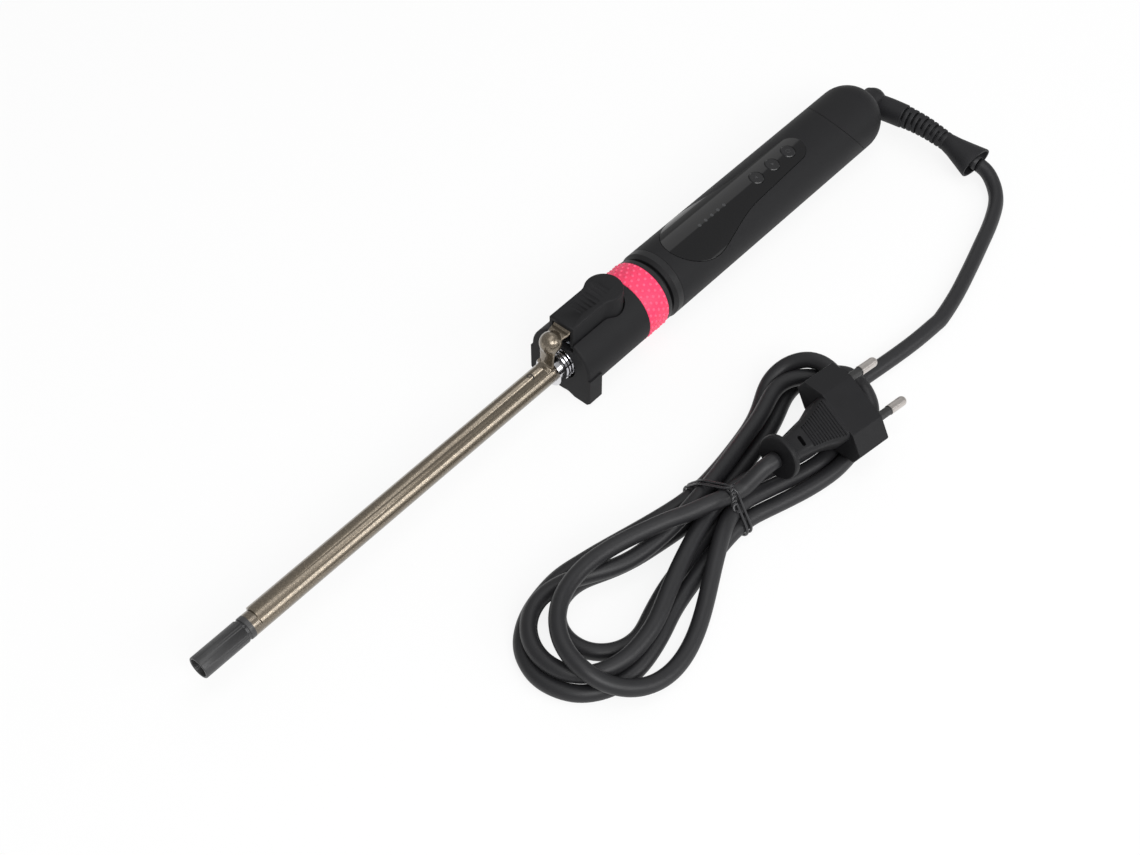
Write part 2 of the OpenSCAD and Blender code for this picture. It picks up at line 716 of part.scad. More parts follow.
module board_screws() {
  color("#a9acb0") turned_handle() for (x = post_xs) for (side = [-1, 1])
    translate([x, side * 6.6, board_z - 3]) {
      cylinder(h = 3 + board_t, r = 0.8, $fn = small_fn);
      translate([0, 0, 3 + board_t]) cylinder(h = 1, r = 1.7, $fn = small_fn);
    }
}

// Relay, capacitor and switching device under the board
module power_components() {
  gap = (post_xs[1] - post_xs[0] - relay[0] - capacitor[0] - switching[0]) / 4;
  color("#31343a") turned_handle() {
    translate([post_xs[0] + gap, -relay[1] / 2, board_z - relay[2]]) cube(relay);
    translate([post_xs[0] + 2 * gap + relay[0], 0, board_z - capacitor[1] / 2])
      rod(0, capacitor[0], capacitor[1] / 2);
    translate([post_xs[0] + 3 * gap + relay[0] + capacitor[0], -switching[1] / 2, board_z - switching[2]])
      cube(switching);
  }
}

module rear_leads() {
  color("#8c2a24") turned_handle() for (side = [-1, 1])
    cord([[holder[0] + 3, side * lead_y, -8.2], [holder[0] - 1, side * lead_y, -8.2],
          [holder[0] - 3, side * lead_y, -8.2], [(holder[0] + board_end_x) / 2 - 3, side * lead_y, -2],
          [board_end_x - 3, side * lead_y, board_z - 0.9]], 0.8, 3, 8);
}

// Half-round end with a slanted front edge and an inner boss that carries the swivel
module end_cap() {
  color("#2e2e2f") turned_handle() difference() {
    union() {
      lathe(concat([[sleeve_r, seam_x - 5], [handle_r, seam_x - 5], [handle_r, dome_x]],
                   arc([0, dome_x], handle_r, 6, 66, 10),
                   [[shaft_r - 0.4, dome_x + 0.95 * handle_r], [shaft_r - 0.4, dome_x + 0.93 * sleeve_r]],
                   arc([0, dome_x], sleeve_r, 66, 0, 11)));
      rod(shaft_flange[1] + 0.2, cap_end_x - 3.4, boss_r);
    }
    rod(dome_x, cap_end_x + cut, shaft_r + run);
    difference() {
      translate([seam_x - 40, -40, -40]) cube([cap_end_x - seam_x + 60, 80, 80]);
      behind_seam(seam);
    }
  }
}

// Fixed bush round the swivel shaft; it also keeps the shaft's flange against the cap
module brush_holder() {
  color("#3b352c") turned_handle() difference() {
    union() {
      rod(holder[0], dome_x - 0.2, sleeve_r - fit);
      rod(dome_x - 1, holder[1], 10.4);
    }
    rod(holder[0] + 3, holder[1] + cut, slip_r + 0.5);
    for (x = slip_xs) translate([x, 0, -14]) cylinder(h = 14, r = 1.02, $fn = small_fn);
    for (side = [-1, 1]) translate([0, side * lead_y, -8.2]) rod(holder[0] - cut, holder[0] + 4, 0.85);
  }
}

module brushes() {
  color("#7a6a4a") turned_handle() for (x = slip_xs)
    translate([x, 0, -10]) cylinder(h = 10 - slip_r - run, r = 1, $fn = small_fn);
}

// ---------------------------------------------------------------- swivel and cord

// Shaft that turns in the end cap, with an elbow outside that takes the strain relief
module swivel_shaft() {
  color("#1f1f21") placed() difference() {
    union() {
      rod(shaft_x, elbow_x - 1, shaft_r);
      rod(shaft_flange[0], shaft_flange[1], shaft_flange_r);
      translate([hub_x, 0, -2.2]) sphere(hub_r, $fn = 48);
    }
    rod(shaft_x - cut, elbow_x - 4, 2.6);
    translate([elbow_x, -relief_y, relief_z]) rotate([90 + relief_droop, 0, 0])
      cylinder(h = 12, r = relief_d / 2 + 1);
  }
}

module slip_rings() {
  color("#c9a24a") placed() for (x = slip_xs)
    pipe(x - slip_w / 2, x + slip_w / 2, shaft_r + 0.01, slip_r);
}

// Moves what is built upwards along Z onto the line of the strain relief
module along_relief() {
  placed() translate([elbow_x, -relief_y - 0.1, relief_z]) rotate([90 + relief_droop, 0, 0]) children();
}

// Moulded sleeve: plain, then slotted to bend, then a flat bell mouth
module strain_relief() {
  r = relief_d / 2;
  slots = 9;
  slot = relief_ribs / slots;
  bell_z = relief_plain + relief_ribs;
  bell_len = relief_len - bell_z;
  color("#232324") along_relief() difference() {
    union() {
      cylinder(h = relief_plain, r = r);
      translate([0, 0, relief_plain]) cylinder(h = relief_ribs, r = r - 0.3);
      hull() {
        translate([0, 0, bell_z]) cylinder(h = 0.5, r = r - 0.3, $fn = 32);
        translate([0, 0, relief_len - 0.5]) scale([relief_wide, relief_high, 1]) cylinder(h = 0.5, r = 1, $fn = 32);
      }
    }
    translate([0, 0, -cut]) cylinder(h = relief_len + 2 * cut, r = lead_r + fit);
    hull() {
      translate([0, 0, bell_z + 3]) cylinder(h = 0.1, r = lead_r + fit, $fn = 32);
      translate([0, 0, relief_len]) scale([relief_wide - 1.2, relief_high - 1, 1]) cylinder(h = 0.1, r = 1, $fn = 32);
    }
    for (i = [0:slots - 1]) translate([0, 0, relief_plain + (i + 0.35) * slot])
      for (side = [0, 1]) rotate([0, 0, 90 * (i % 2) + 180 * side])
        translate([r - 1.2, -3, 0]) cube([3, 6, 0.8]);
  }
}

// The cord's first stretch, inside the strain relief
module relief_lead() {
  color("#232324") along_relief() translate([0, 0, 0.2]) cylinder(h = relief_len - 0.1, r = lead_r);
}

// Route of the free cord from the bell mouth to the hank
lead_route = [
  [195.3, -55.9, 7.9], [195, -61, 6.4], [191, -67.5, 4.4], [184, -73, 3.5], [172, -78, 3.3], [157, -82.5, 3.3],
  [141, -87, 3.3], [125, -91, 3.3], [109, -93.6, 3.3], [93, -94, 3.3], [80, -93.2, 3.3], [69.1, -92.5, 3.3]];
// Route of the cord's last stretch, from the tie over the hank to the plug
tail_route = [
  [-26, -90, 16.6], [-19, -91.3, 17.5], [-13, -93.2, 20.4], [-8.2, -94.6, 22.2], [-4.5, -95.2, 22.2]];

module cord_lead() { color("#27272a") cord(lead_route, lead_r, 1, 10); }
module cord_tail() { color("#27272a") cord(tail_route, lead_r, 2, 10); }

// Round-ended slab that stands for the loops in one end of the hank
module lobe(x0, x1, y0, y1, h) {
  r = (y1 - y0) / 2;
  linear_extrude(h) polygon(concat(
    arc([x0 + r, y0 + r], r, 90, 270, 10), arc([x1 - r, y0 + r], r, -90, 90, 10)));
}

module cord_hank() {
  layer = cord_d + 0.2;
  color("#2a2a2d") {
    lobe(-124, -32, -120, -55, 2 * layer);
    translate([-50, -101, 1.6]) cube([38, 30, 2 * layer - 1.6]);
    lobe(-18, 68.8, -112, -62, layer);
    lobe(-18, 62, -84.5, -62, 2 * layer);
  }
}

// Wire tie wound round the hank's waist, with its ends twisted together on top
module twist_tie() {
  far_y = -70.8;
  near_y = -101.2;
  t = 0.8;
  outer = [[near_y - t, 0.3], [near_y - t, 13.8], [-95.4, 21], [-86, 21], [far_y + t, 14], [far_y + t, 0.3]];
  inner = [[near_y, 0.3 + t], [near_y, 13.5], [-94.8, 20.3], [-86.2, 20.3], [far_y, 13.6], [far_y, 0.3 + t]];
  color("#1c1c1e") {
    translate([-27, 0, 0]) rotate([90, 0, 90]) linear_extrude(4) difference() {
      polygon(outer);
      polygon(inner);
    }
    translate([-25, -90, 20.7]) rotate([0, 74, -25]) cylinder(h = 13, r = 0.9, $fn = small_fn);
  }
}

// Moves the plug, built with its pins along +X and its face at the origin, to where it lies
module at_plug() { translate([41.5, -99.6, 17.3]) rotate([26, 6, -5.5]) children(); }

pin_pitch = 18.6;
plug_w = 35.3;
plug_h = 13.7;
plug_neck_x = -38;
plug_back_x = -45.6;
flange_r = 10.2;

// Moulded plug: a flat eight-sided face block, a waisted grip, and a flange at the cord
module plug_body() {
  base_l = 14;
  flat = 9.6;
  side = 2.6;
  grip_x = -base_l - 11;
  color("#2b2b2c") at_plug() difference() {
    union() {
      translate([-base_l, 0, 0]) rotate([90, 0, 90]) linear_extrude(base_l) polygon([
        [-flat, plug_h / 2], [-plug_w / 2, side], [-plug_w / 2, -side], [-flat, -plug_h / 2],
        [flat, -plug_h / 2], [plug_w / 2, -side], [plug_w / 2, side], [flat, plug_h / 2]]);
      hull() {
        translate([-base_l, 0, 0]) cube([1, 2 * flat + 1, plug_h - 1.4], center = true);
        translate([grip_x, 0, 0]) cube([1, 13.4, 10.6], center = true);
        translate([plug_neck_x, 0, 0]) rotate([0, 90, 0]) cylinder(h = 1, r = 4.6, $fn = 32);
      }
      rod(plug_back_x + 1, plug_neck_x + 0.5, 4.4);
      rod(plug_back_x, plug_back_x + 2.7, flange_r);
    }
    for (s = [-1, 1]) translate([-8, s * pin_pitch / 2, 0]) rod(0, 9, 1.55);
    translate([-34, 0, 0]) cube([3, 4.4, 20], center = true);
  }
}

// Solid pins with rounded tips, thinner where their sleeves sit
module plug_pins() {
  color("#cdb9b0") at_plug() for (s = [-1, 1]) translate([0, s * pin_pitch / 2, 0]) {
    rod(-8, 10.1, 1.5);
    rod(10, 17.6, 2);
    translate([17.6, 0, 0]) sphere(2, $fn = 32);
  }
}

module pin_sleeves() {
  color("#1c1c1e") at_plug() for (s = [-1, 1]) translate([0, s * pin_pitch / 2, 0]) pipe(0.02, 9.98, 1.52, 1.8);
}

// ---------------------------------------------------------------- nodes

cool_tip();
tip_ring();
barrel_tube();
heater_core();
insulation_sleeve();
thermal_fuse();
barrel_ferrule();
hinge_bracket();
hinge_pin();
torsion_spring();
clamp();
clamp_screws();
thumb_lever();
front_housing();
barrel_bush();
bush_screws();
grip_ring();
lock_plug();
contact_pins();
barrel_leads();
socket_ring();
contact_block();
socket_contacts();
handle_sleeve();
control_panel();
power_button();
heat_up_button();
heat_down_button();
button_switches();
indicator_leds();
light_windows();
circuit_board();
board_screws();
power_components();
board_tray();
front_leads();
rear_leads();
end_cap();
brush_holder();
brushes();
swivel_shaft();
slip_rings();
strain_relief();
relief_lead();
cord_lead();
cord_hank();
cord_tail();
twist_tie();
plug_body();
plug_pins();
pin_sleeves();
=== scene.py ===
"""Looks of a small-barrel curling iron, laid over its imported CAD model.

Metres, tip towards -X, Z up."""

import math

import bmesh
import bpy
import numpy as np
from mathutils import Euler, Matrix, Vector


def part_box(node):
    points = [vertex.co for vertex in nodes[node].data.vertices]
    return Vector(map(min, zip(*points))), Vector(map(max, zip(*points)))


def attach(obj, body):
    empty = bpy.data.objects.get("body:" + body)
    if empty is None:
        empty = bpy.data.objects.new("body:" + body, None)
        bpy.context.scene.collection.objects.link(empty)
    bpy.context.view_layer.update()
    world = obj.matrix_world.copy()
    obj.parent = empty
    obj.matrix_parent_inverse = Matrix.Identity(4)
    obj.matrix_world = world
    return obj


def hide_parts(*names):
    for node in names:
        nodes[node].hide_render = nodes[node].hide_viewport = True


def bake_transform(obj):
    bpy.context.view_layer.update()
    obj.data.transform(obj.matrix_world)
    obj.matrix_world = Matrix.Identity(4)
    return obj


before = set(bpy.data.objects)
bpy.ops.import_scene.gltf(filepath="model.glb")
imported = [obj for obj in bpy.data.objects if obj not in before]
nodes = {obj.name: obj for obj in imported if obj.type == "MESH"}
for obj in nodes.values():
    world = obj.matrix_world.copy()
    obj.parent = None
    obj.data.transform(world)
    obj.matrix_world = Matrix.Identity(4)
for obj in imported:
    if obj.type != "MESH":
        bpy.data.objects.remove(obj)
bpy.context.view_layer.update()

# ---------------------------------------------------------------- camera
# A short telephoto that looks down at 50 degrees over the tip's side of the iron,
# so the iron runs away up to the right and its cord lies in front of it.


def add_object(name, data):
    """A new object with the given data, in the scene."""
    made = bpy.data.objects.new(name, data)
    bpy.context.scene.collection.objects.link(made)
    return made


camera_data = bpy.data.cameras.new("camera")
camera_data.lens = 57.14
camera_data.sensor_width = 36
camera = add_object("camera", camera_data)
look_at = Vector((-0.03792, -0.02467, 0.015))
camera_away = 0.6796
camera.rotation_euler = (math.radians(40), 0, math.radians(-48.84))
camera.location = look_at + camera.rotation_euler.to_matrix() @ Vector((0, 0, camera_away))
bpy.context.scene.camera = camera

# ---------------------------------------------------------------- table and light
# A white table under four large soft lamps. The table shows white to the camera and in
# reflections, and keeps a faint shadow under the iron and its cord.

bpy.context.scene.view_settings.view_transform = "Standard"

bpy.ops.mesh.primitive_plane_add(size=8, location=(0, 0, -0.0002))
table_top = bpy.context.object
table_top.name = "table_top"


def add_node(tree, kind, inputs, **settings):
    """A node with its settings, where each input gets a value or reads an output socket."""
    made = tree.nodes.new("ShaderNode" + kind)
    for label, value in settings.items():
        setattr(made, label, value)
    for label, value in inputs.items():
        if isinstance(value, bpy.types.NodeSocket):
            tree.links.new(value, made.inputs[label])
        else:
            made.inputs[label].default_value = value
    return made


def cleared_tree(owner):
    """The emptied node tree of a material or a world."""
    owner.use_nodes = True
    owner.node_tree.nodes.clear()
    return owner.node_tree


def seen_by(tree, *rays):
    """A value that is 1 for the two named kinds of ray and 0 for the others."""
    path = add_node(tree, "LightPath", {})
    return add_node(tree, "Math", {k: path.outputs[ray] for k, ray in enumerate(rays)},
                    operation="ADD", use_clamp=True).outputs[0]


table_grey, table_glow, room_light, backdrop_light = 0.86, 0.86, 0.42, 1.0
table_white = bpy.data.materials.new("table_white")
tree = cleared_tree(table_white)
matt = add_node(tree, "BsdfDiffuse", {"Color": (table_grey, table_grey, table_grey, 1)})
white = add_node(tree, "Emission", {"Strength": 1.0})
white_share = add_node(tree, "Math", {0: seen_by(tree, "Is Camera Ray", "Is Glossy Ray"),
                                      1: table_glow}, operation="MULTIPLY")
table_mix = add_node(tree, "MixShader", {0: white_share.outputs[0], 1: matt.outputs[0],
                                         2: white.outputs[0]})
add_node(tree, "OutputMaterial", {0: table_mix.outputs[0]})
table_top.data.materials.append(table_white)

studio = bpy.data.worlds.new("studio")
bpy.context.scene.world = studio
tree = cleared_tree(studio)
room, backdrop = (add_node(tree, "Background", {"Color": (1, 1, 1, 1), "Strength": strength})
                  for strength in (room_light, backdrop_light))
world_mix = add_node(tree, "MixShader", {0: seen_by(tree, "Is Camera Ray", "Is Transmission Ray"),
                                         1: room.outputs[0], 2: backdrop.outputs[0]})
add_node(tree, "OutputWorld", {0: world_mix.outputs[0]})


def soft_lamp(name, place, aim, size, power):
    """A rectangular lamp at a place, turned to where it aims."""
    lamp = bpy.data.lights.new(name, "AREA")
    lamp.shape = "RECTANGLE"
    lamp.size, lamp.size_y = size
    lamp.energy = power
    holder = add_object(name, lamp)
    holder.location = place
    holder.rotation_euler = (Vector(aim) - Vector(place)).to_track_quat("-Z", "Y").to_euler()


soft_lamp("lamp_over", (0.1, -0.11, 1.3), (0.1, 0, 0), (1.3, 0.62), 4.0)
soft_lamp("lamp_back", (1.1, 0.88, 1.2), (0.9, 0, 0), (0.75, 1.3), 1.9)
soft_lamp("lamp_front", (-0.65, -1.2, 1.3), (0, 0, 0), (1.0, 1.0), 20)
soft_lamp("lamp_side", (0.35, -1.35, 0.72), (0.2, 0, 0), (1.0, 0.55), 8)

# ---------------------------------------------------------------- mains cord
# Round two-core cord in soft satin PVC. It leaves the strain relief, crosses the table, is
# folded into a hank of long and short loops that a tie holds, and ends in the plug.

cord_d = 0.0064
low, mid, top = 3.3, 9.8, 16.2
# Each row is x, y and z in millimetres, then 1 where the relief or the plug holds the cord,
# 2 where the tie or the set it has taken draws it in, else 0
lead_route = [
    (195.3, -55.9, 7.9, 1), (195, -61, 6.4, 1), (191, -67.5, 4.4, 1), (184, -73, 3.5, 1),
    (172, -78, 3.3, 1), (157, -82.5, 3.3, 1), (141, -87, 3.3, 1), (125, -91, 3.3, 1),
    (109, -93.6, 3.3, 1), (93, -94, low, 0), (80, -93.2, low, 0), (69.1, -92.5, low, 0),
    (56, -90.5, low, 0), (40, -87.5, low, 0), (20, -86, low, 0), (0, -87.5, low, 0),
]
inner_left = [
    (-42, -88.5, low, 0), (-56, -90.5, low, 0), (-68, -94, low, 2), (-79, -97.5, low, 0),
    (-88, -99.2, low, 0), (-96, -98.5, low, 0), (-102.5, -94.5, low, 0), (-106, -88.5, low, 0),
    (-106.2, -81.5, low, 0), (-103, -75.5, low, 0), (-97, -71.5, low, 0), (-89, -70, low, 0),
    (-80, -71, low, 0), (-68, -75, low, 2), (-54, -79.5, low, 0), (-40, -82, low, 0),
]
first_right = [
    (-8, -81.2, low, 0), (8, -78.5, low, 0), (22, -76.2, low, 2), (34, -75, low, 0),
    (45, -75.5, 4.5, 0), (54.5, -79.5, 7.5, 0), (60, -85.5, mid, 0), (61, -92, mid, 0),
    (58, -98.5, mid, 0), (51.5, -103.5, 7.5, 0), (43, -105.6, 4.5, 0), (32, -105.5, low, 0),
    (18, -104.5, low, 0), (4, -102, low, 0), (-10, -99, low, 0),
]
outer_left = [
    (-41, -96.5, low, 0), (-57, -98.5, low, 0), (-72, -101.5, low, 2), (-86, -105.3, low, 0),
    (-98, -107.5, low, 0), (-107, -107, low, 0), (-114.5, -104, low, 0), (-119.5, -97, low, 0),
    (-121.3, -88, low, 0), (-120.8, -79, low, 0), (-117.5, -70, low, 0), (-111, -63, low, 0),
    (-102, -59, low, 0), (-92, -58.8, low, 0), (-80, -61, low, 0), (-66, -65, low, 0),
    (-52, -68.5, low, 0), (-38, -72, low, 0),
]
second_right = [
    (-10, -74.2, low, 0), (6, -71.8, low, 0), (20, -69.5, low, 2), (32, -68.4, low, 0),
    (42, -69.5, 7, 0), (49.5, -73.5, 12.5, 0), (53, -79.5, 15, 0), (52, -86, 14, 0),
    (46, -91, mid, 0), (36, -93, 6, 0), (24, -92.5, low, 0), (12, -92.2, low, 0), (0, -90.5, 7, 0),
    (-12, -88, mid, 0),
]
middle_left = [
    (-38, -87.5, mid, 0), (-52, -91.5, mid, 0), (-66, -96.5, mid, 2), (-80, -101.5, mid, 0),
    (-92, -104.3, mid, 0), (-102, -104, mid, 0), (-111, -101, mid, 0), (-117.5, -95.5, mid, 0),
    (-121, -88, mid, 0), (-121, -80, mid, 0), (-118, -72.5, mid, 0), (-112, -67.5, mid, 0),
    (-104, -65.5, mid, 0), (-95, -67.5, mid, 0), (-84, -72.5, mid, 0), (-70, -78, mid, 2),
    (-55, -81.5, mid, 0), (-40, -81, mid, 0),
]
third_right = [
    (-10, -77.5, mid, 0), (5, -75.2, mid, 0), (18, -72.8, mid, 2), (30, -71.5, mid, 0),
    (41, -72.2, mid, 0), (50, -76.5, mid, 0), (55, -82.5, mid, 0), (55, -89.5, mid, 0),
    (50.5, -95, mid, 0), (43, -98, 7.5, 0), (33, -99.2, 4.5, 0), (20, -99, low, 0),
    (8, -97.5, 5, 0), (-6, -95.5, 8.5, 0),
]
top_left = [
    (-40, -97.5, 9, 0), (-56, -103, 7, 0), (-71, -108.5, 6, 0), (-84, -113.5, 6, 0),
    (-95, -116.5, 8.5, 0), (-104.5, -116, 12.5, 0), (-112, -111.5, 15.5, 0),
    (-116.5, -104, top, 0), (-116.5, -96, top, 0), (-114, -88, top, 0), (-109, -81, top, 0),
    (-102, -74.5, top, 0), (-93, -70.5, top, 0), (-83, -69, top, 0), (-72, -70, top, 0),
    (-58, -74, top, 0), (-44, -80, top, 0), (-33, -85.5, top, 0),
]
tail_route = [
    (-19, -91.3, 17.5, 1), (-13, -93.2, 20.4, 1), (-8.2, -94.6, 22.2, 1), (-4.5, -95.2, 22.2, 1),
]
# Where the strands lie side by side inside the tie, as y and z
tie_x = -0.025
at_tie = {
    "low_1": (-0.0750, 0.0044), "low_2": (-0.0820, 0.0044), "low_3": (-0.0890, 0.0044),
    "low_4": (-0.0960, 0.0044), "mid_1": (-0.0792, 0.0102), "mid_2": (-0.0860, 0.0102),
    "mid_3": (-0.0928, 0.0102), "top": (-0.0900, 0.0162),
}


def in_metres(rows):
    """The rows of a route with their places in metres."""
    return [(*(round(value / 1000, 6) for value in row[:3]), row[3]) for row in rows]


cord_rows = []
for stretch, strand in (
    (lead_route, "low_3"), (inner_left, "low_2"), (first_right, "low_4"), (outer_left, "low_1"),
    (second_right, "mid_2"), (middle_left, "mid_1"), (third_right, "mid_3"), (top_left, "top"),
):
    cord_rows += in_metres(stretch) + [(tie_x, *at_tie[strand], 2)]
cord_rows = np.array(cord_rows + in_metres(tail_route))

plug_turn = Euler((math.radians(26), math.radians(6), math.radians(-5.5)), "XYZ").to_matrix()
plug_at = Vector((0.0415, -0.0996, 0.0173))
plug_w, plug_h = 0.0353, 0.0137
pin_pitch = 0.0186


def smooth_route(points, per_span):
    """Points along the Catmull-Rom curve through the given ones."""
    ends = np.vstack([points[:1], points, points[-1:]])
    a, b, c, d = ends[:-3], ends[1:-2], ends[2:-1], ends[3:]
    t = (np.arange(per_span) / per_span)[None, :, None]
    a, b, c, d = (p[:, None, :] for p in (a, b, c, d))
    curve = (2 * b + (c - a) * t + (2 * a - 5 * b + 4 * c - d) * t**2
             + (3 * b - a - 3 * c + d) * t**3) / 2
    return np.vstack([curve.reshape(-1, points.shape[1]), points[-1:]])


def spaced(points, step):
    """The same line with its points evenly spaced, and where each given point came to lie."""
    run = np.r_[0, np.cumsum(np.linalg.norm(np.diff(points, axis=0), axis=1))]
    at = np.linspace(0, run[-1], int(round(run[-1] / step)) + 1)
    return np.stack([np.interp(at, run, points[:, k]) for k in range(3)], -1), at, run


def clear_of_plug(points, radius):
    """Moves points that a strand would have inside the plug or its pins to just under them."""
    turn, centre = np.array(plug_turn), np.array(plug_at)
    grip_span, block_from, block_to = [-0.034, -0.017], -0.017, 0.0015
    flange_from, flange_to, flange_reach = -0.0485, -0.036, 0.0102 + radius
    pins_to, pin_reach = 0.0195 + radius, 0.0022 + radius
    own = (points - centre) @ turn
    along, across, up = own.T
    half = np.where(along > block_from, plug_w / 2, np.interp(along, grip_span, [0.0070, 0.0120]))
    thick = np.where(along > block_from, plug_h / 2, np.interp(along, grip_span, [0.0055, 0.0064]))
    under = ((along > -0.044) & (along < block_to) & (abs(across) < half + 0.7 * radius)
             & (up > -thick - radius) & (up < thick))
    own[under, 2] = -(thick[under] + radius)
    flange = (along > flange_from) & (along < flange_to) & (np.hypot(across, up) < flange_reach)
    own[flange, 2] = -np.sqrt(flange_reach**2 - across[flange] ** 2)
    for side in (-1, 1):
        pin = own - [0, side * pin_pitch / 2, 0]
        away = np.hypot(pin[:, 1], pin[:, 2])
        near = (along > 0) & (along < pins_to) & (away < pin_reach)
        own[near, 1:] += pin[near, 1:] * (pin_reach / away[near] - 1)[:, None]
    return own @ turn.T + centre


def settled(rows, rounds):
    """Lets the cord come to rest: strands push apart, sag, keep their length and bend widely."""
    radius, gap, floor = cord_d / 2, cord_d + 0.00012, cord_d / 2 + 0.0001
    step, fold, slack, sag, evening = 0.003, 0.0168, 0.985, 0.00006, 0.15
    points, at, run = spaced(smooth_route(rows[:, :3], 12), step)
    step = at[1]
    marks = run[::12]
    held = np.zeros(len(points), bool)
    for k in range(len(rows) - 1):
        if rows[k, 3] == 1 and rows[k + 1, 3] == 1:
            held |= (at >= marks[k] - step / 2) & (at <= marks[k + 1] + step / 2)
    tied = [(int(round(marks[k] / step)), rows[k, :3]) for k in range(len(rows)) if rows[k, 3] == 2]
    tied_at = np.array([t[0] for t in tied])
    tied_to = np.array([t[1] for t in tied])
    free = (~held).astype(float)[:, None]
    lag = 4
    chord = 2 * fold * math.sin(lag * step / fold)
    first, second = np.triu_indices(len(points), int(round(0.022 / step)))

    def push_apart(points):
        """Moves strands that are closer than the gap away from each other."""
        apart = points[first] - points[second]
        near = np.nonzero(np.einsum("ij,ij->i", apart, apart) < gap * gap)[0]
        if len(near) == 0:
            return
        one, two, apart = first[near], second[near], apart[near]
        size = np.linalg.norm(apart, axis=1) + 1e-9
        share = np.maximum(free[one] + free[two], 1)
        push = ((gap - size) / size)[:, None] * apart
        moved, count = np.zeros_like(points), np.zeros(len(points))
        for end, way in ((one, push), (two, -push)):
            np.add.at(moved, end, way * free[end] / share)
            np.add.at(count, end, 1)
        points += moved / np.maximum(count, 1)[:, None]

    def even_out(points, amount):
        """Moves each free point towards, or away from, the middle of its neighbours."""
        middle = (points[:-2] + points[2:]) / 2
        points[1:-1] += (middle - points[1:-1]) * amount * free[1:-1]

    for turn in range(rounds):
        ease = 1 - turn / rounds
        points[:, 2] -= sag * ease * free[:, 0]
        span = points[2 * lag:] - points[:-2 * lag]
        size = np.linalg.norm(span, axis=1)
        open_up = (0.3 * np.clip(chord - size, 0, None) / size)[:, None] * span
        points[2 * lag:] += open_up * free[2 * lag:]
        points[:-2 * lag] -= open_up * free[:-2 * lag]
        even_out(points, evening)
        for wave in (2, 3, 5):
            inner = slice(2 * wave, -2 * wave)
            beside = points[wave:-3 * wave] + points[3 * wave:-wave]
            beyond = points[:-4 * wave] + points[4 * wave:]
            unbent = (4 * beside - beyond - 6 * points[inner]) / 16
            points[inner] += unbent * min(0.5, 1.5 * ease) * free[inner]
        draw_in = (tied_to - points[tied_at]) * (0.05 + 0.15 * ease)
        for beside in range(-4, 5):
            points[tied_at + beside] += draw_in * math.cos(beside / 5 * math.pi / 2)
        push_apart(points)
        for part in (0, 1) * 4:
            head = np.arange(part, len(points) - 1, 2)
            span = points[head + 1] - points[head]
            size = np.linalg.norm(span, axis=1)[:, None]
            share = np.maximum(free[head] + free[head + 1], 1)
            pull = (size - slack * step) / size * span / share
            points[head] += pull * free[head]
            points[head + 1] -= pull * free[head + 1]
        points = np.where(held[:, None], points, clear_of_plug(points, radius))
        points[:, 2] = np.where(held, points[:, 2], np.maximum(points[:, 2], floor))
    for amount in (0.5, -0.53) * 8:
        even_out(points, amount)
        push_apart(points)
        points[:, 2] = np.where(held, points[:, 2], np.maximum(points[:, 2], floor))
    return points


cord_path = settled(cord_rows, 600)
cord_path = spaced(smooth_route(cord_path, 2), 0.0016)[0]


def swept(name, path, radius, sides):
    """A closed round tube along a path, with a UV map that runs round it and along it."""
    path = np.asarray(path, float)
    ahead = np.gradient(path, axis=0)
    ahead /= np.linalg.norm(ahead, axis=1)[:, None]
    side = np.cross(ahead[0], (0.1, 0.2, 1.0))
    rings = []
    for point, way in zip(path, ahead):
        side = side - way * side.dot(way)
        side /= np.linalg.norm(side)
        rise = np.cross(way, side)
        turns = np.arange(sides) * 2 * math.pi / sides
        around = np.outer(np.cos(turns), side) + np.outer(np.sin(turns), rise)
        rings.append(point + radius * around)
    count = len(path)
    faces = [(i * sides + j, i * sides + (j + 1) % sides, (i + 1) * sides + (j + 1) % sides,
              (i + 1) * sides + j) for i in range(count - 1) for j in range(sides)]
    faces += [tuple(range(sides))[::-1], tuple((count - 1) * sides + j for j in range(sides))]
    mesh = bpy.data.meshes.new(name)
    mesh.from_pydata(np.concatenate(rings).tolist(), [], faces)
    uv = mesh.uv_layers.new(name="along")
    run = np.r_[0, np.cumsum(np.linalg.norm(np.diff(path, axis=0), axis=1))]
    for poly in mesh.polygons[: (count - 1) * sides]:
        j = poly.index % sides
        i = poly.index // sides
        corners = ((j, i), (j + 1, i), (j + 1, i + 1), (j, i + 1))
        for loop, (around, along) in zip(poly.loop_indices, corners):
            uv.data[loop].uv = (around / sides, run[along])
    for poly in mesh.polygons:
        poly.use_smooth = len(poly.vertices) == 4
    made = add_object(name, mesh)
    made.data.update()
    return made


def surface_group(name, inputs):
    """A node group with the given inputs that puts out colour, roughness and normal."""
    group = bpy.data.node_groups.new(name, "ShaderNodeTree")
    for label, value in inputs.items():
        kind = "NodeSocketColor" if isinstance(value, tuple) else "NodeSocketFloat"
        socket = group.interface.new_socket(name=label, in_out="INPUT", socket_type=kind)
        socket.default_value = value
    for label, kind in (("Colour", "NodeSocketColor"), ("Roughness", "NodeSocketFloat"),
                        ("Normal", "NodeSocketVector")):
        group.interface.new_socket(name=label, in_out="OUTPUT", socket_type=kind)
    return group, group.nodes.new("NodeGroupInput").outputs


def put_out(group, *values):
    """Links the group's colour, roughness and normal to its outputs."""
    result = group.nodes.new("NodeGroupOutput")
    for k, value in enumerate(values):
        group.links.new(value, result.inputs[k])
    return group


def sum_of(group, value, factor, added, **settings):
    """A value times a factor plus another value."""
    return add_node(group, "Math", {0: value, 1: factor, 2: added},
                    operation="MULTIPLY_ADD", **settings).outputs[0]


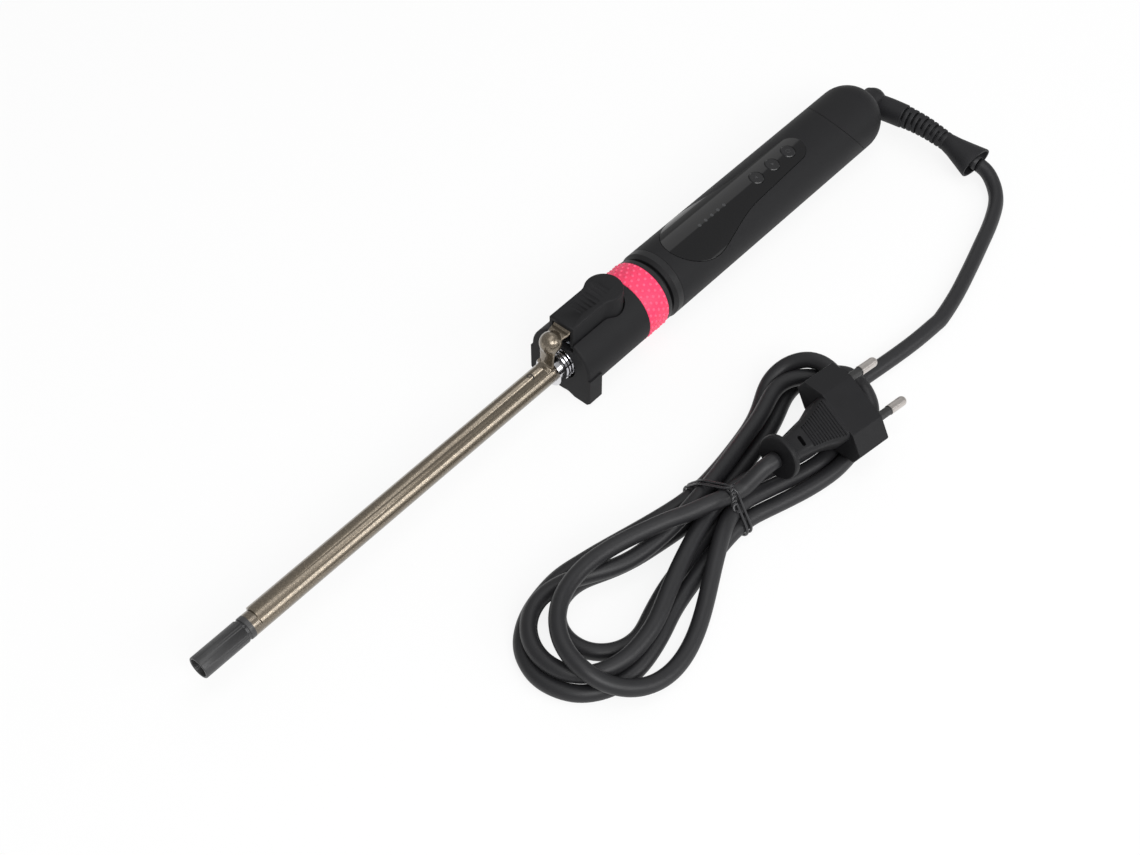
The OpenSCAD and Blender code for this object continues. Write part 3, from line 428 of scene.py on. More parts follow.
def moulded_skin():
    """Node group: colour with a faint cloud, uneven roughness and a fine moulded grain."""
    group, given = surface_group("moulded_skin", {
        "Colour": (0.03, 0.03, 0.03, 1), "Colour spread": 0.1, "Roughness": 0.5,
        "Roughness spread": 0.06, "Cloud size": 120.0, "Grain size": 2500.0, "Relief": 0.00003})
    place = add_node(group, "TexCoord", {}).outputs["Object"]
    cloud, grain = (add_node(group, "TexNoise", {"Vector": place, "Scale": given[size],
                                                 "Detail": detail}).outputs["Fac"]
                    for size, detail in (("Cloud size", 3), ("Grain size", 2)))
    spread = sum_of(group, cloud, 2, -1)
    shade = sum_of(group, spread, given["Colour spread"], 1)
    tint = add_node(group, "HueSaturation", {"Color": given["Colour"], "Value": shade})
    rough = sum_of(group, spread, given["Roughness spread"], given["Roughness"], use_clamp=True)
    relief = add_node(group, "Bump", {"Distance": given["Relief"], "Height": grain})
    return put_out(group, tint.outputs["Color"], rough, relief.outputs["Normal"])


skin = moulded_skin()


def finish(name, colour, roughness, group_values=(), shader_values=(), group=skin):
    """A material that is one Principled shader fed by a node group."""
    material = bpy.data.materials.new(name)
    material.use_nodes = True
    tree = material.node_tree
    shader = tree.nodes["Principled BSDF"]
    surface = add_node(tree, "Group", {"Colour": (*colour, 1), "Roughness": roughness,
                                       **dict(group_values)}, node_tree=group)
    for label, value in dict(shader_values).items():
        shader.inputs[label].default_value = value
    for given, wanted in (("Colour", "Base Color"), ("Roughness",) * 2, ("Normal",) * 2):
        tree.links.new(surface.outputs[given], shader.inputs[wanted])
    return material


def coat(material, *pieces):
    """Gives CAD nodes, by name, or new pieces their material."""
    for piece in pieces:
        mesh = (nodes[piece] if isinstance(piece, str) else piece).data
        mesh.materials.clear()
        mesh.materials.append(material)


cord_skin = finish("cord_pvc", (0.015, 0.015, 0.0165), 0.46,
                   {"Cloud size": 60, "Grain size": 1500, "Relief": 0.00002,
                    "Roughness spread": 0.08}, {"Specular IOR Level": 0.35})
mains_cord = swept("mains_cord", cord_path, cord_d / 2, 16)
coat(cord_skin, mains_cord)
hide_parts("cord_lead", "cord_hank", "cord_tail")
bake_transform(mains_cord)

# ---------------------------------------------------------------- strain relief
# Moulded PVC sleeve on the swivel's elbow: a plain collar, fins parted by slots that leave
# bridges a quarter turn apart, and a flat bell mouth. The cord runs inside it.

relief_line = spaced(smooth_route(np.array([
    (0.1950, -0.0022, 0.0112), (0.1962, -0.0140, 0.0117), (0.1969, -0.0260, 0.0113),
    (0.1966, -0.0380, 0.0099), (0.1952, -0.0548, 0.0079)]), 12), 0.0005)[0]
relief_run = np.r_[0, np.cumsum(np.linalg.norm(np.diff(relief_line, axis=0), axis=1))]
collar_end, fins_end, relief_end = 0.0140, 0.0365, float(relief_run[-1])
fin_count = 9
fin_pitch = (fins_end - collar_end) / fin_count
# Each station is the distance along the line, the half width and the half height
relief_stations = [(0.0006, 0.0052, 0.0052), (0.0012, 0.0054, 0.0054), (0.0070, 0.0054, 0.0054),
                   (collar_end - 0.0003, 0.0053, 0.0053), (collar_end, 0.0050, 0.0050)]
slot_w, slot_depth, fin_edge, fin_taper, bridge_in = 0.00085, 0.0015, 0.0002, 0.0009, 0.0011
bridges = []
for k in range(fin_count):
    at = collar_end + k * fin_pitch
    r = 0.0050 - fin_taper * k / (fin_count - 1)
    relief_stations += [(at + along, half, half) for along, half in (
        (0.00001, r - slot_depth), (slot_w, r - slot_depth), (0.00086, r - fin_edge), (0.0011, r),
        (fin_pitch - 0.0003, r), (fin_pitch, r - fin_edge))]
    bridges.append((at, r, k % 2))
relief_stations += [
    (fins_end + 0.0004, 0.0041, 0.0041), (fins_end + 0.0040, 0.0050, 0.0043),
    (fins_end + 0.0085, 0.0065, 0.0048), (fins_end + 0.0130, 0.0080, 0.0054),
    (relief_end - 0.0004, 0.0090, 0.0058), (relief_end, 0.0089, 0.0057),
    (relief_end + 0.0001, 0.0081, 0.0049), (relief_end - 0.0040, 0.0069, 0.0043),
    (relief_end - 0.0095, 0.0048, 0.0036),
]


def select_only(*pieces):
    """Selects the pieces and makes the first of them active."""
    bpy.ops.object.select_all(action="DESELECT")
    for piece in pieces:
        piece.select_set(True)
    bpy.context.view_layer.objects.active = pieces[0]


def edit(piece):
    """Opens a piece in edit mode with nothing selected."""
    select_only(piece)
    bpy.ops.object.mode_set(mode="EDIT")
    bpy.ops.mesh.select_mode(type="FACE")
    bpy.ops.mesh.select_all(action="DESELECT")
    return bmesh.from_edit_mesh(piece.data)


def extrude(move, scale, **centre):
    """Extrudes what is selected by a move, then scales its new end."""
    bpy.ops.mesh.extrude_region_move(TRANSFORM_OT_translate={"value": move})
    bpy.ops.transform.resize(value=scale, **centre)


def primitive(add, scale=(1, 1, 1), **values):
    """A new primitive from an operator, with its place and scale in its mesh."""
    add(**values)
    piece = bpy.context.object
    piece.scale = scale
    select_only(piece)
    bpy.ops.object.transform_apply(location=True, rotation=True, scale=True)
    return piece


def join_to(*pieces):
    """Joins the meshes of all the pieces into the first one."""
    select_only(*pieces)
    bpy.ops.object.join()


relief = primitive(bpy.ops.mesh.primitive_circle_add, vertices=48, radius=relief_stations[0][1],
                   fill_type="NGON", location=(0, 0, relief_stations[0][0]))
relief.name = "relief_sleeve"
edit(relief)
bpy.ops.mesh.select_all(action="SELECT")
before = relief_stations[0]
for station in relief_stations[1:]:
    extrude((0, 0, station[0] - before[0]),
            (station[1] / before[1], station[2] / before[2], 1),
            center_override=(0, 0, station[0]))
    before = station
bpy.ops.mesh.select_all(action="SELECT")
bpy.ops.mesh.normals_make_consistent(inside=False)
bpy.ops.object.mode_set(mode="OBJECT")
made = []
for at, r, upright in bridges:
    for side in (-1, 1):
        x, y = (0, side * (r - bridge_in)) if upright else (side * (r - bridge_in), 0)
        size = (0.0026, 0.0018, 0.0012) if upright else (0.0018, 0.0026, 0.0012)
        made.append(primitive(bpy.ops.mesh.primitive_cube_add, scale=size, size=1,
                              location=(x, y, at + 0.0004)))
join_to(relief, *made)
relief_way = np.gradient(relief_line, axis=0)
relief_way /= np.linalg.norm(relief_way, axis=1)[:, None]
for vertex in relief.data.vertices:
    along = min(vertex.co.z, relief_end)
    centre = Vector([np.interp(along, relief_run, relief_line[:, k]) for k in range(3)])
    way = Vector([np.interp(along, relief_run, relief_way[:, k]) for k in range(3)]).normalized()
    beside = way.cross(Vector((0, 0, 1))).normalized()
    above = beside.cross(way)
    vertex.co = centre + beside * vertex.co.x + above * vertex.co.y
bpy.ops.object.shade_smooth_by_angle(angle=0.6)
relief_skin = finish("relief_pvc", (0.012, 0.012, 0.0135), 0.58,
                     {"Cloud size": 150, "Grain size": 3000, "Relief": 0.00002},
                     {"Specular IOR Level": 0.28})
coat(relief_skin, relief)
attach(relief, "swivel")
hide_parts("strain_relief")
inner_line = np.vstack([relief_line[4::4], cord_path[:1] + (0, -0.0001, 0)])
lead_inside = swept("lead_inside", inner_line, cord_d / 2 - 0.00002, 16)
coat(cord_skin, lead_inside)
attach(lead_inside, "swivel")
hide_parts("relief_lead")

# ---------------------------------------------------------------- wire tie
# Thin plastic-covered wire, wound twice round the hank's waist under the plug's end of the
# cord, its ends twisted together on top and left standing off towards the long loops.

tie_wire = 0.00055


def round_the_waist(x):
    """The tight line of the wire round the strands that cross at x, as y and z."""
    crossing = [k for k in range(len(cord_path) - 1)
                if (cord_path[k, 0] - x) * (cord_path[k + 1, 0] - x) <= 0
                and -0.125 < cord_path[k, 1] < -0.05]
    turns = np.linspace(0, 2 * math.pi, 33)[:-1]
    ring = np.stack([np.cos(turns), np.sin(turns)], -1) * (cord_d / 2 + tie_wire + 0.0001)
    dots = np.vstack([cord_path[k, 1:] + ring for k in crossing])
    dots[:, 1] = np.maximum(dots[:, 1], tie_wire)
    dots = dots[np.lexsort((dots[:, 1], dots[:, 0]))]
    hull = []
    for order in (dots, dots[::-1]):
        part = []
        for dot in order:
            while len(part) > 1 and np.cross(part[-1] - part[-2], dot - part[-2]) <= 0:
                part.pop()
            part.append(dot)
        hull += part[:-1]
    return np.array(hull)


tie_line = []
for x in (tie_x - 0.0009, tie_x + 0.0011):
    loop = round_the_waist(x)
    start = np.argmax(loop[:, 1])
    loop = np.roll(loop, -start, axis=0)
    tie_line += [(x, y, z) for y, z in np.vstack([loop, loop[:1]])]
tie_line = np.array(tie_line)
tie_line = smooth_route(spaced(tie_line, 0.0028)[0], 4)
knot = Vector(tie_line[-1]) + Vector((0, 0, tie_wire))

tie_wound = swept("wire_tie", tie_line, tie_wire, 8)
twist_axis = Vector((-0.62, -0.62, 0.18)).normalized()
across_a = twist_axis.orthogonal().normalized()
across_b = twist_axis.cross(across_a)
twist_pitch, end_points, open_from, end_droop = 0.0036, 60, 0.72, 0.0022
tie_ends = []
for phase, reach in ((0, 0.0125), (math.pi, 0.0095)):
    line = []
    for k in range(end_points):
        part = k / (end_points - 1)
        run = part * reach
        angle = phase + run / twist_pitch * 2 * math.pi
        wide = tie_wire * 1.05 * (1 + 2.2 * max(0, part - open_from))
        line.append(knot + twist_axis * run + Vector((0, 0, -end_droop * part ** 2))
                    + (across_a * math.cos(angle) + across_b * math.sin(angle)) * wide)
    tie_ends.append(swept("tie_end", [tuple(p) for p in line], tie_wire, 8))
join_to(tie_wound, *tie_ends)
coat(finish("tie_plastic", (0.02, 0.02, 0.022), 0.22, {"Relief": 0.00001}), tie_wound)
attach(tie_wound, "handle")
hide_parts("twist_tie")

# ---------------------------------------------------------------- mains plug
# One-piece moulded plug in satin PVC: an eight-sided face block, a waisted grip with cross
# ribs and a slot, and a round flange at the cord. Its pins are nickel-plated brass.

plug_base, plug_flat, plug_side = 0.0168, 0.0096, 0.0026
plug_back, flange_r, flange_w = -0.0456, 0.0090, 0.0027


def picked(mesh, wanted):
    """Selects, in edit mode, the faces whose centre and normal the test accepts."""
    for item in (*mesh.verts, *mesh.edges, *mesh.faces):
        item.select = False
    for face in mesh.faces:
        if wanted(face.calc_center_median(), face.normal):
            face.select_set(True)


def apply_modifier(piece, kind, **values):
    """Adds a modifier with the given values and applies it."""
    bpy.context.view_layer.objects.active = piece
    modifier = piece.modifiers.new(kind.lower(), kind)
    for label, value in values.items():
        setattr(modifier, label, value)
    bpy.ops.object.modifier_apply(modifier=modifier.name)


def combine(piece, tool, operation):
    """Joins a tool to a piece or cuts it away, and removes the tool."""
    apply_modifier(piece, "BOOLEAN", object=tool, operation=operation, solver="EXACT")
    bpy.data.objects.remove(tool)


def round_edges(piece, wanted, width, segments):
    """Rounds the edges that the test accepts."""
    mesh = edit(piece)
    bpy.ops.mesh.select_mode(type="EDGE")
    for edge in mesh.edges:
        edge.select = len(edge.link_faces) == 2 and wanted(edge)
    bmesh.update_edit_mesh(piece.data)
    bpy.ops.mesh.bevel(offset=width, segments=segments, profile=0.5)
    bpy.ops.object.mode_set(mode="OBJECT")


def runs_along(edge, axis, least):
    """True if the edge covers at least this much of an axis."""
    return abs(edge.verts[0].co[axis] - edge.verts[1].co[axis]) > least


plug_block = primitive(bpy.ops.mesh.primitive_cube_add, scale=(plug_base, plug_w, 2 * plug_side),
                       size=1, location=(-plug_base / 2, 0, 0))
plug_block.name = "mains_plug"
mesh = edit(plug_block)
for side in (-1, 1):
    picked(mesh, lambda c, n: n.z * side > 0.9)
    extrude((0, 0, side * (plug_h / 2 - plug_side)), (1, 2 * plug_flat / plug_w, 1))
    mesh = bmesh.from_edit_mesh(plug_block.data)
bpy.ops.object.mode_set(mode="OBJECT")
apply_modifier(plug_block, "BEVEL", width=0.0004, segments=2, limit_method="ANGLE", angle_limit=0.4)

# Each station of the grip is x, half width and half height
grip_stations = (
    (-0.0176, 0.0095, 0.0067), (-0.0192, 0.0091, 0.0065), (-0.0215, 0.0083, 0.0061),
    (-0.0250, 0.0072, 0.0056), (-0.0295, 0.0062, 0.0052), (-0.0340, 0.0055, 0.0049),
    (-0.0385, 0.0050, 0.0048), (-0.0410, 0.0052, 0.0052), (-0.0426, 0.0064, 0.0064),
)
grip = primitive(bpy.ops.mesh.primitive_cube_add, size=1, location=(-plug_base / 2 - 0.0005, 0, 0),
                 scale=(plug_base - 0.003, 2 * plug_flat, plug_h - 0.0002))
mesh = edit(grip)
before = (-plug_base + 0.001, plug_flat, plug_h / 2)
for station in grip_stations:
    picked(mesh, lambda c, n: n.x < -0.9)
    extrude((station[0] - before[0], 0, 0), (1, station[1] / before[1], station[2] / before[2]))
    mesh = bmesh.from_edit_mesh(grip.data)
    before = station
bpy.ops.object.mode_set(mode="OBJECT")
round_edges(grip, lambda edge: runs_along(edge, 0, 1e-4), 0.0028, 5)

flange = primitive(bpy.ops.mesh.primitive_cylinder_add, vertices=48, radius=flange_r,
                   depth=flange_w, location=(plug_back + flange_w / 2, 0, 0),
                   rotation=(0, math.pi / 2, 0))
apply_modifier(flange, "BEVEL", width=0.0008, segments=3, limit_method="ANGLE")
combine(plug_block, grip, "UNION")
combine(plug_block, flange, "UNION")

rib_count, rib_first, rib_pitch, rib_r = 12, -0.0182, 0.00122, 0.00046
grip_x, grip_half, grip_high = np.array(grip_stations)[::-1].T
ribs = []
for k in range(rib_count):
    x = rib_first - k * rib_pitch
    wide, high = np.interp(x, grip_x, grip_half), np.interp(x, grip_x, grip_high)
    for face in (1, -1):
        rib = primitive(bpy.ops.mesh.primitive_cylinder_add, vertices=12, radius=rib_r,
                        depth=2 * wide - 0.0026, location=(x, 0, face * (high - 0.0001)),
                        rotation=(math.pi / 2, 0, 0))
        apply_modifier(rib, "BEVEL", width=0.0003, segments=2, limit_method="ANGLE")
        ribs.append(rib)

slot_tool = primitive(bpy.ops.mesh.primitive_cube_add, scale=(0.0017, 0.0044, 0.02), size=1,
                      location=(-0.0355, 0, 0))
round_edges(slot_tool, lambda edge: runs_along(edge, 2, 1e-3), 0.0008, 4)
combine(plug_block, slot_tool, "DIFFERENCE")
join_to(plug_block, *ribs)
bpy.ops.object.shade_smooth_by_angle(angle=0.32)
apply_modifier(plug_block, "WEIGHTED_NORMAL", keep_sharp=True, weight=90)
plug_block.data.transform(Matrix.Translation(plug_at) @ plug_turn.to_4x4())
plug_skin = finish("plug_pvc", (0.008, 0.008, 0.009), 0.5,
                   {"Cloud size": 200, "Grain size": 2600, "Relief": 0.00003},
                   {"Specular IOR Level": 0.25})
coat(plug_skin, plug_block)
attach(plug_block, "handle")
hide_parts("plug_body")

pin_nickel = finish("pin_nickel", (0.62, 0.58, 0.55), 0.3,
                    {"Cloud size": 150, "Grain size": 5000, "Relief": 0.000001,
                     "Roughness spread": 0.05},
                    {"Metallic": 1.0})
coat(pin_nickel, "plug_pins")
coat(finish("sleeve_plastic", (0.02, 0.02, 0.02), 0.45, {"Grain size": 3000}), "pin_sleeves")

# ---------------------------------------------------------------- heated barrel
# Drawn metal tube with a bronze ceramic coating full of fine bright flecks. Inside it are a
# ceramic heater rod, a mica sleeve and a thermal fuse.


def flecked_coating():
    """Node group: a sprayed coating with fine bright flecks and a faint orange peel."""
    group, given = surface_group("flecked_coating", {
        "Colour": (0.2, 0.16, 0.12, 1), "Fleck colour": (0.6, 0.5, 0.4, 1), "Roughness": 0.35,
        "Fleck size": 2600.0, "Fleck share": 0.2, "Relief": 0.00002})
    place = add_node(group, "TexCoord", {}).outputs["Object"]
    cells = add_node(group, "TexVoronoi", {"Vector": place, "Scale": given["Fleck size"]},
                     feature="F1")
    peel = add_node(group, "TexNoise", {"Vector": place, "Scale": 900})
    lot = add_node(group, "SeparateColor", {0: cells.outputs["Color"]})
    fleck = add_node(group, "Math", {0: lot.outputs[0], 1: given["Fleck share"]},
                     operation="LESS_THAN")
    bright = add_node(group, "Math", {0: fleck.outputs[0], 1: lot.outputs[1]},
                      operation="MULTIPLY").outputs[0]
    mix = add_node(group, "Mix", {"Factor": bright, "A": given["Colour"],
                                  "B": given["Fleck colour"]}, data_type="RGBA")
    rough = sum_of(group, bright, -0.12, given["Roughness"], use_clamp=True)
    relief = add_node(group, "Bump", {"Distance": given["Relief"], "Height": peel.outputs["Fac"]})
    return put_out(group, mix.outputs["Result"], rough, relief.outputs["Normal"])


flecks = flecked_coating()
coated_metal = {"Metallic": 0.8, "Coat Weight": 0.6, "Coat Roughness": 0.16}
barrel_coat = finish("barrel_coating", (0.152, 0.128, 0.1), 0.3,
                     {"Fleck colour": (0.36, 0.3, 0.225, 1), "Fleck size": 6000,
                      "Fleck share": 0.3}, coated_metal, group=flecks)
coat(barrel_coat, "barrel_tube")
heater_ceramic = finish("heater_ceramic", (0.8, 0.78, 0.72), 0.75,
                        {"Grain size": 1800, "Relief": 0.00006})
coat(heater_ceramic, "heater_core")
heater_mica = finish("heater_mica", (0.62, 0.55, 0.42), 0.4,
                     {"Colour spread": 0.35, "Cloud size": 500})
coat(heater_mica, "insulation_sleeve")
fuse_body = finish("fuse_body", (0.5, 0.45, 0.34), 0.4, {"Cloud size": 400}, {"Metallic": 0.6})
coat(fuse_body, "thermal_fuse")

# ---------------------------------------------------------------- cool tip
# Hollow tip in matt heat-resistant plastic with a fine grain, and the ring behind its groove
# that closes the barrel's end.

tip_skin = finish("tip_plastic", (0.038, 0.038, 0.039), 0.42,
                  {"Grain size": 2200, "Relief": 0.00003})
coat(tip_skin, "tip_ring")


def copy_of(node, name):
    """A merged copy of a CAD node's mesh, with its flat faces whole, to be reshaped."""
    copied = add_object(name, nodes[node].data.copy())
    edit(copied)
    bpy.ops.mesh.select_all(action="SELECT")
    bpy.ops.mesh.remove_doubles(threshold=0.000005)
    bpy.ops.mesh.dissolve_limited(angle_limit=0.01)
    bpy.ops.mesh.normals_make_consistent(inside=False)
    bpy.ops.mesh.select_all(action="DESELECT")
    bpy.ops.object.mode_set(mode="OBJECT")
    copied.data.materials.clear()
    return copied


tip_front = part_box("cool_tip")[0].x


def on_tip_mouth(edge):
    """True on the two sharp rims at the tip's open end."""
    at_front = all(v.co.x < tip_front + 0.00005 for v in edge.verts)
    return at_front and edge.calc_face_angle(0) > 0.6


tip = copy_of("cool_tip", "tip_body")
round_edges(tip, on_tip_mouth, 0.00045, 4)
bpy.ops.object.shade_smooth_by_angle(angle=0.6)
coat(tip_skin, tip)
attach(tip, "barrel_attachment")
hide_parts("cool_tip")

# ---------------------------------------------------------------- clamp
# Pressed spring-steel sheet that lies on the barrel, in the same flecked coating. Its neck
# rises to a tongue that two screws hold under the thumb lever. The 9 is the barrel's size.

clamp_coat = finish("clamp_coating", (0.16, 0.133, 0.1), 0.29,
                    {"Fleck colour": (0.38, 0.315, 0.235, 1), "Fleck size": 5500,
                     "Fleck share": 0.3}, coated_metal, group=flecks)
barrel_axis_z = 0.015
clamp_body = copy_of("clamp", "clamp_body")
combine(clamp_body, primitive(bpy.ops.mesh.primitive_cube_add, scale=(0.0155, 0.02, 0.0170),
                              size=1, location=(-0.0218, 0, 0.0290)), "DIFFERENCE")
# Each station of the neck is x, z, its tilt from upright, half width and crown
neck_stations = (
    (-0.0262, 0.02046, 90, 0.00350, 0.00120), (-0.0249, 0.02050, 86, 0.00352, 0.00110),
    (-0.0242, 0.02080, 50, 0.00352, 0.00085), (-0.0239, 0.0218, 12, 0.00350, 0.00060),
    (-0.0238, 0.0236, 3, 0.00347, 0.00050), (-0.0238, 0.0256, 0, 0.00362, 0.00060),
    (-0.0238, 0.0276, -2, 0.00392, 0.00090), (-0.0236, 0.0294, 6, 0.00420, 0.00120),
    (-0.0226, 0.0311, 30, 0.00425, 0.00110), (-0.0210, 0.0322, 55, 0.00400, 0.00060),
    (-0.0190, 0.0328, 72, 0.00370, 0.00020), (-0.0174, 0.0330, 86, 0.00380, 0.00010),
    (-0.0160, 0.0331, 90, 0.00412, 0.00000), (-0.0148, 0.0332, 80, 0.00424, 0.00000),
    (-0.0141, 0.0340, 50, 0.00424, 0.00000), (-0.0132, 0.03455, 85, 0.00424, 0.00000),
)
neck_rows, neck_cols = 40, 17
neck = primitive(bpy.ops.mesh.primitive_grid_add, x_subdivisions=neck_rows,
                 y_subdivisions=neck_cols, size=2, location=(0, 0, 0))
neck_line = smooth_route(np.array(neck_stations), 6)
neck_at = np.linspace(0, 1, len(neck_line))
for vertex in neck.data.vertices:
    along, across = (vertex.co.x + 1) / 2, vertex.co.y
    x, z, tilt, half, crown = (np.interp(along, neck_at, neck_line[:, k]) for k in range(5))
    out = Vector((-math.cos(math.radians(tilt)), 0, math.sin(math.radians(tilt))))
    vertex.co = Vector((x, across * half, z)) - out * crown * across**2
apply_modifier(neck, "SOLIDIFY", thickness=0.001, offset=-1)
knuckle = primitive(bpy.ops.mesh.primitive_uv_sphere_add, segments=48, ring_count=24,
                    radius=0.0045, location=(-0.0209, 0, 0.0305))
join_to(neck, knuckle)
apply_modifier(neck, "REMESH", mode="VOXEL", voxel_size=0.00022)
apply_modifier(neck, "SMOOTH", factor=0.5, iterations=14)
for face in neck.data.polygons:
    face.use_smooth = True
join_to(clamp_body, neck)
bpy.ops.object.shade_smooth_by_angle(angle=0.6)
coat(clamp_coat, clamp_body)
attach(clamp_body, "clamp_arm")
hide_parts("clamp")
screw_steel = finish("screw_steel", (0.55, 0.56, 0.58), 0.3, {"Cloud size": 900}, {"Metallic": 1.0})
coat(screw_steel, "clamp_screws")

clamp_r, mark_x, mark_gap = 0.0053, -0.032, 0.00009
bpy.ops.object.select_all(action="DESELECT")
bpy.ops.object.text_add(location=(0, 0, 0))
size_mark = bpy.context.object
size_mark.data.body = "9"
size_mark.data.size = 0.0056
size_mark.data.align_x = size_mark.data.align_y = "CENTER"
size_mark.data.extrude = 0.00002
bpy.ops.object.convert(target="MESH")
size_mark = bpy.context.object
size_mark.name = "size_mark"
edit(size_mark)
bpy.ops.mesh.select_all(action="SELECT")
bpy.ops.mesh.quads_convert_to_tris()
bpy.ops.mesh.subdivide(number_cuts=4)
bpy.ops.object.mode_set(mode="OBJECT")
for vertex in size_mark.data.vertices:
    turn = vertex.co.y / clamp_r
    lift = clamp_r + mark_gap + vertex.co.z
    vertex.co = (mark_x + vertex.co.x, lift * math.sin(turn),
                 barrel_axis_z + lift * math.cos(turn))
coat(finish("mark_paint", (0.035, 0.03, 0.026), 0.5, {"Cloud size": 900}), size_mark)
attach(size_mark, "clamp_arm")

# ---------------------------------------------------------------- ferrule and hinge
# Plated ferrule with turned rings where the barrel enters the housing. The hinge is a folded
# steel bracket, a pin and a wire spring that shuts the clamp.

chrome = finish("ferrule_chrome", (0.72, 0.72, 0.74), 0.12,
                {"Cloud size": 500, "Roughness spread": 0.05, "Grain size": 6000,
                 "Relief": 0.000004}, {"Metallic": 1.0})
coat(chrome, "barrel_ferrule")
hinge_steel = finish("hinge_steel", (0.5, 0.51, 0.53), 0.32,
                     {"Cloud size": 500, "Roughness spread": 0.12}, {"Metallic": 1.0})
coat(hinge_steel, "hinge_bracket", "hinge_pin", "torsion_spring")

# ---------------------------------------------------------------- front housing and lever
# Round housing with a foot moulded on its front, and the hollow thumb lever that lies in its
# recess. Both are nylon under a soft-touch black coating.

soft_skin = finish("soft_black", (0.0105, 0.0105, 0.0115), 0.62,
                   {"Cloud size": 90, "Grain size": 3200, "Relief": 0.00003,
                    "Roughness spread": 0.05}, {"Specular IOR Level": 0.22})
coat(soft_skin, "front_housing")
lever_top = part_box("thumb_lever")[1].z
lever = copy_of("thumb_lever", "lever_body")


def on_lever_rim(edge):
    """True on the top's outline: both ends on the top, and one of its faces a tall side."""
    if any(v.co.z < lever_top - 0.00005 for v in edge.verts):
        return False
    return any(abs(f.normal.z) < 0.1 and min(v.co.z for v in f.verts) < lever_top - 0.002
               for f in edge.link_faces)


for vertex in lever.data.vertices:
    if abs(vertex.co.z - lever_top + 0.0003) < 0.00003:
        vertex.co.z = lever_top - 0.00009
round_edges(lever, on_lever_rim, 0.0007, 4)
bpy.ops.object.shade_smooth_by_angle(angle=0.6)
coat(soft_skin, lever)
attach(lever, "clamp_arm")
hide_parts("thumb_lever")
coat(finish("bush_phenolic", (0.7, 0.66, 0.56), 0.7, {"Colour spread": 0.2}), "barrel_bush")
coat(hinge_steel, "bush_screws")

# ---------------------------------------------------------------- grip band
# Soft pink rubber band stretched over the attachment, covered in staggered round studs.

band_low, band_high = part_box("grip_ring")
band_x = (band_low.x + band_high.x) / 2
band_w = band_high.x - band_low.x
band_r = band_high.z - barrel_axis_z
band_wall = 0.0013
band = primitive(bpy.ops.mesh.primitive_cylinder_add, vertices=96, radius=band_r, depth=band_w,
                 end_fill_type="NOTHING", location=(band_x, 0, barrel_axis_z),
                 rotation=(0, math.pi / 2, 0))
band.name = "grip_band"
apply_modifier(band, "SOLIDIFY", thickness=band_wall, offset=-1)
apply_modifier(band, "BEVEL", width=0.0004, segments=3, limit_method="ANGLE", angle_limit=0.8)
bpy.ops.object.shade_smooth_by_angle(angle=0.7)

stud_rows, studs_round, stud_r, stud_squash, stud_sunk = 5, 31, 0.00074, 0.62, 0.00008
stud = primitive(bpy.ops.mesh.primitive_uv_sphere_add, segments=10, ring_count=6, radius=stud_r,
                 location=(0, 0, 0))
stud.data.transform(Matrix.Diagonal((1, 1, stud_squash, 1)))
for face in stud.data.polygons:
    face.use_smooth = True
# The studs are painted a lighter pink than the band as a painted highlight: it stands in for light
# caught on the raised studs, which are the band's own rubber
stud_painted_highlight = finish("stud_painted_highlight", (0.92, 0.095, 0.2), 0.55,
                     {"Cloud size": 300, "Grain size": 3500, "Relief": 0.00001})
coat(stud_painted_highlight, stud)
studs = []
row_pitch = (band_w - 0.0021) / (stud_rows - 1)
for row in range(stud_rows):
    row_x = band_x + (row - (stud_rows - 1) / 2) * row_pitch
    for place in range(studs_round):
        turn = (place + 0.5 * (row % 2)) * 2 * math.pi / studs_round
        one = add_object("stud", stud.data.copy())
        one.data.transform(Matrix.Translation((row_x, 0, barrel_axis_z))
                           @ Matrix.Rotation(turn, 4, "X")
                           @ Matrix.Translation((0, 0, band_r - stud_sunk)))
        studs.append(one)
bpy.data.objects.remove(stud)
grip_rubber = finish("grip_rubber", (0.86, 0.04, 0.125), 0.5,
                     {"Cloud size": 300, "Grain size": 3500, "Relief": 0.00002})
coat(grip_rubber, band)
join_to(band, *studs)
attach(band, "barrel_attachment")
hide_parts("grip_ring")

# ---------------------------------------------------------------- twist lock
# Rear closure of the attachment with its two lugs, its coaxial plug contacts and the leads to
# the heater, and in the handle's front the grooved lip, the contact block and its contacts.

lock_skin = finish("black_satin", (0.011, 0.011, 0.012), 0.48,
                   {"Cloud size": 150, "Grain size": 3000}, {"Specular IOR Level": 0.3})
coat(lock_skin, "lock_plug", "socket_ring")
coat(finish("contact_block", (0.05, 0.042, 0.035), 0.6, {"Colour spread": 0.2}), "contact_block")
contact_brass = finish("contact_brass", (0.72, 0.52, 0.22), 0.25, {"Cloud size": 800},
                       {"Metallic": 1.0})
coat(contact_brass, "contact_pins", "socket_contacts", "slip_rings")
lead_silicone = finish("lead_silicone", (0.35, 0.03, 0.02), 0.5, {"Cloud size": 300})
coat(lead_silicone, "barrel_leads", "front_leads", "rear_leads")

# ---------------------------------------------------------------- handle
# Round sleeve and half-round end cap in the same soft-touch black, parted by a slanted seam.

coat(soft_skin, "handle_sleeve", "end_cap")

# ---------------------------------------------------------------- control panel
# Glossy black inlay, flush in the sleeve, with three round push buttons in open rings and
# five small light windows over the indicators.

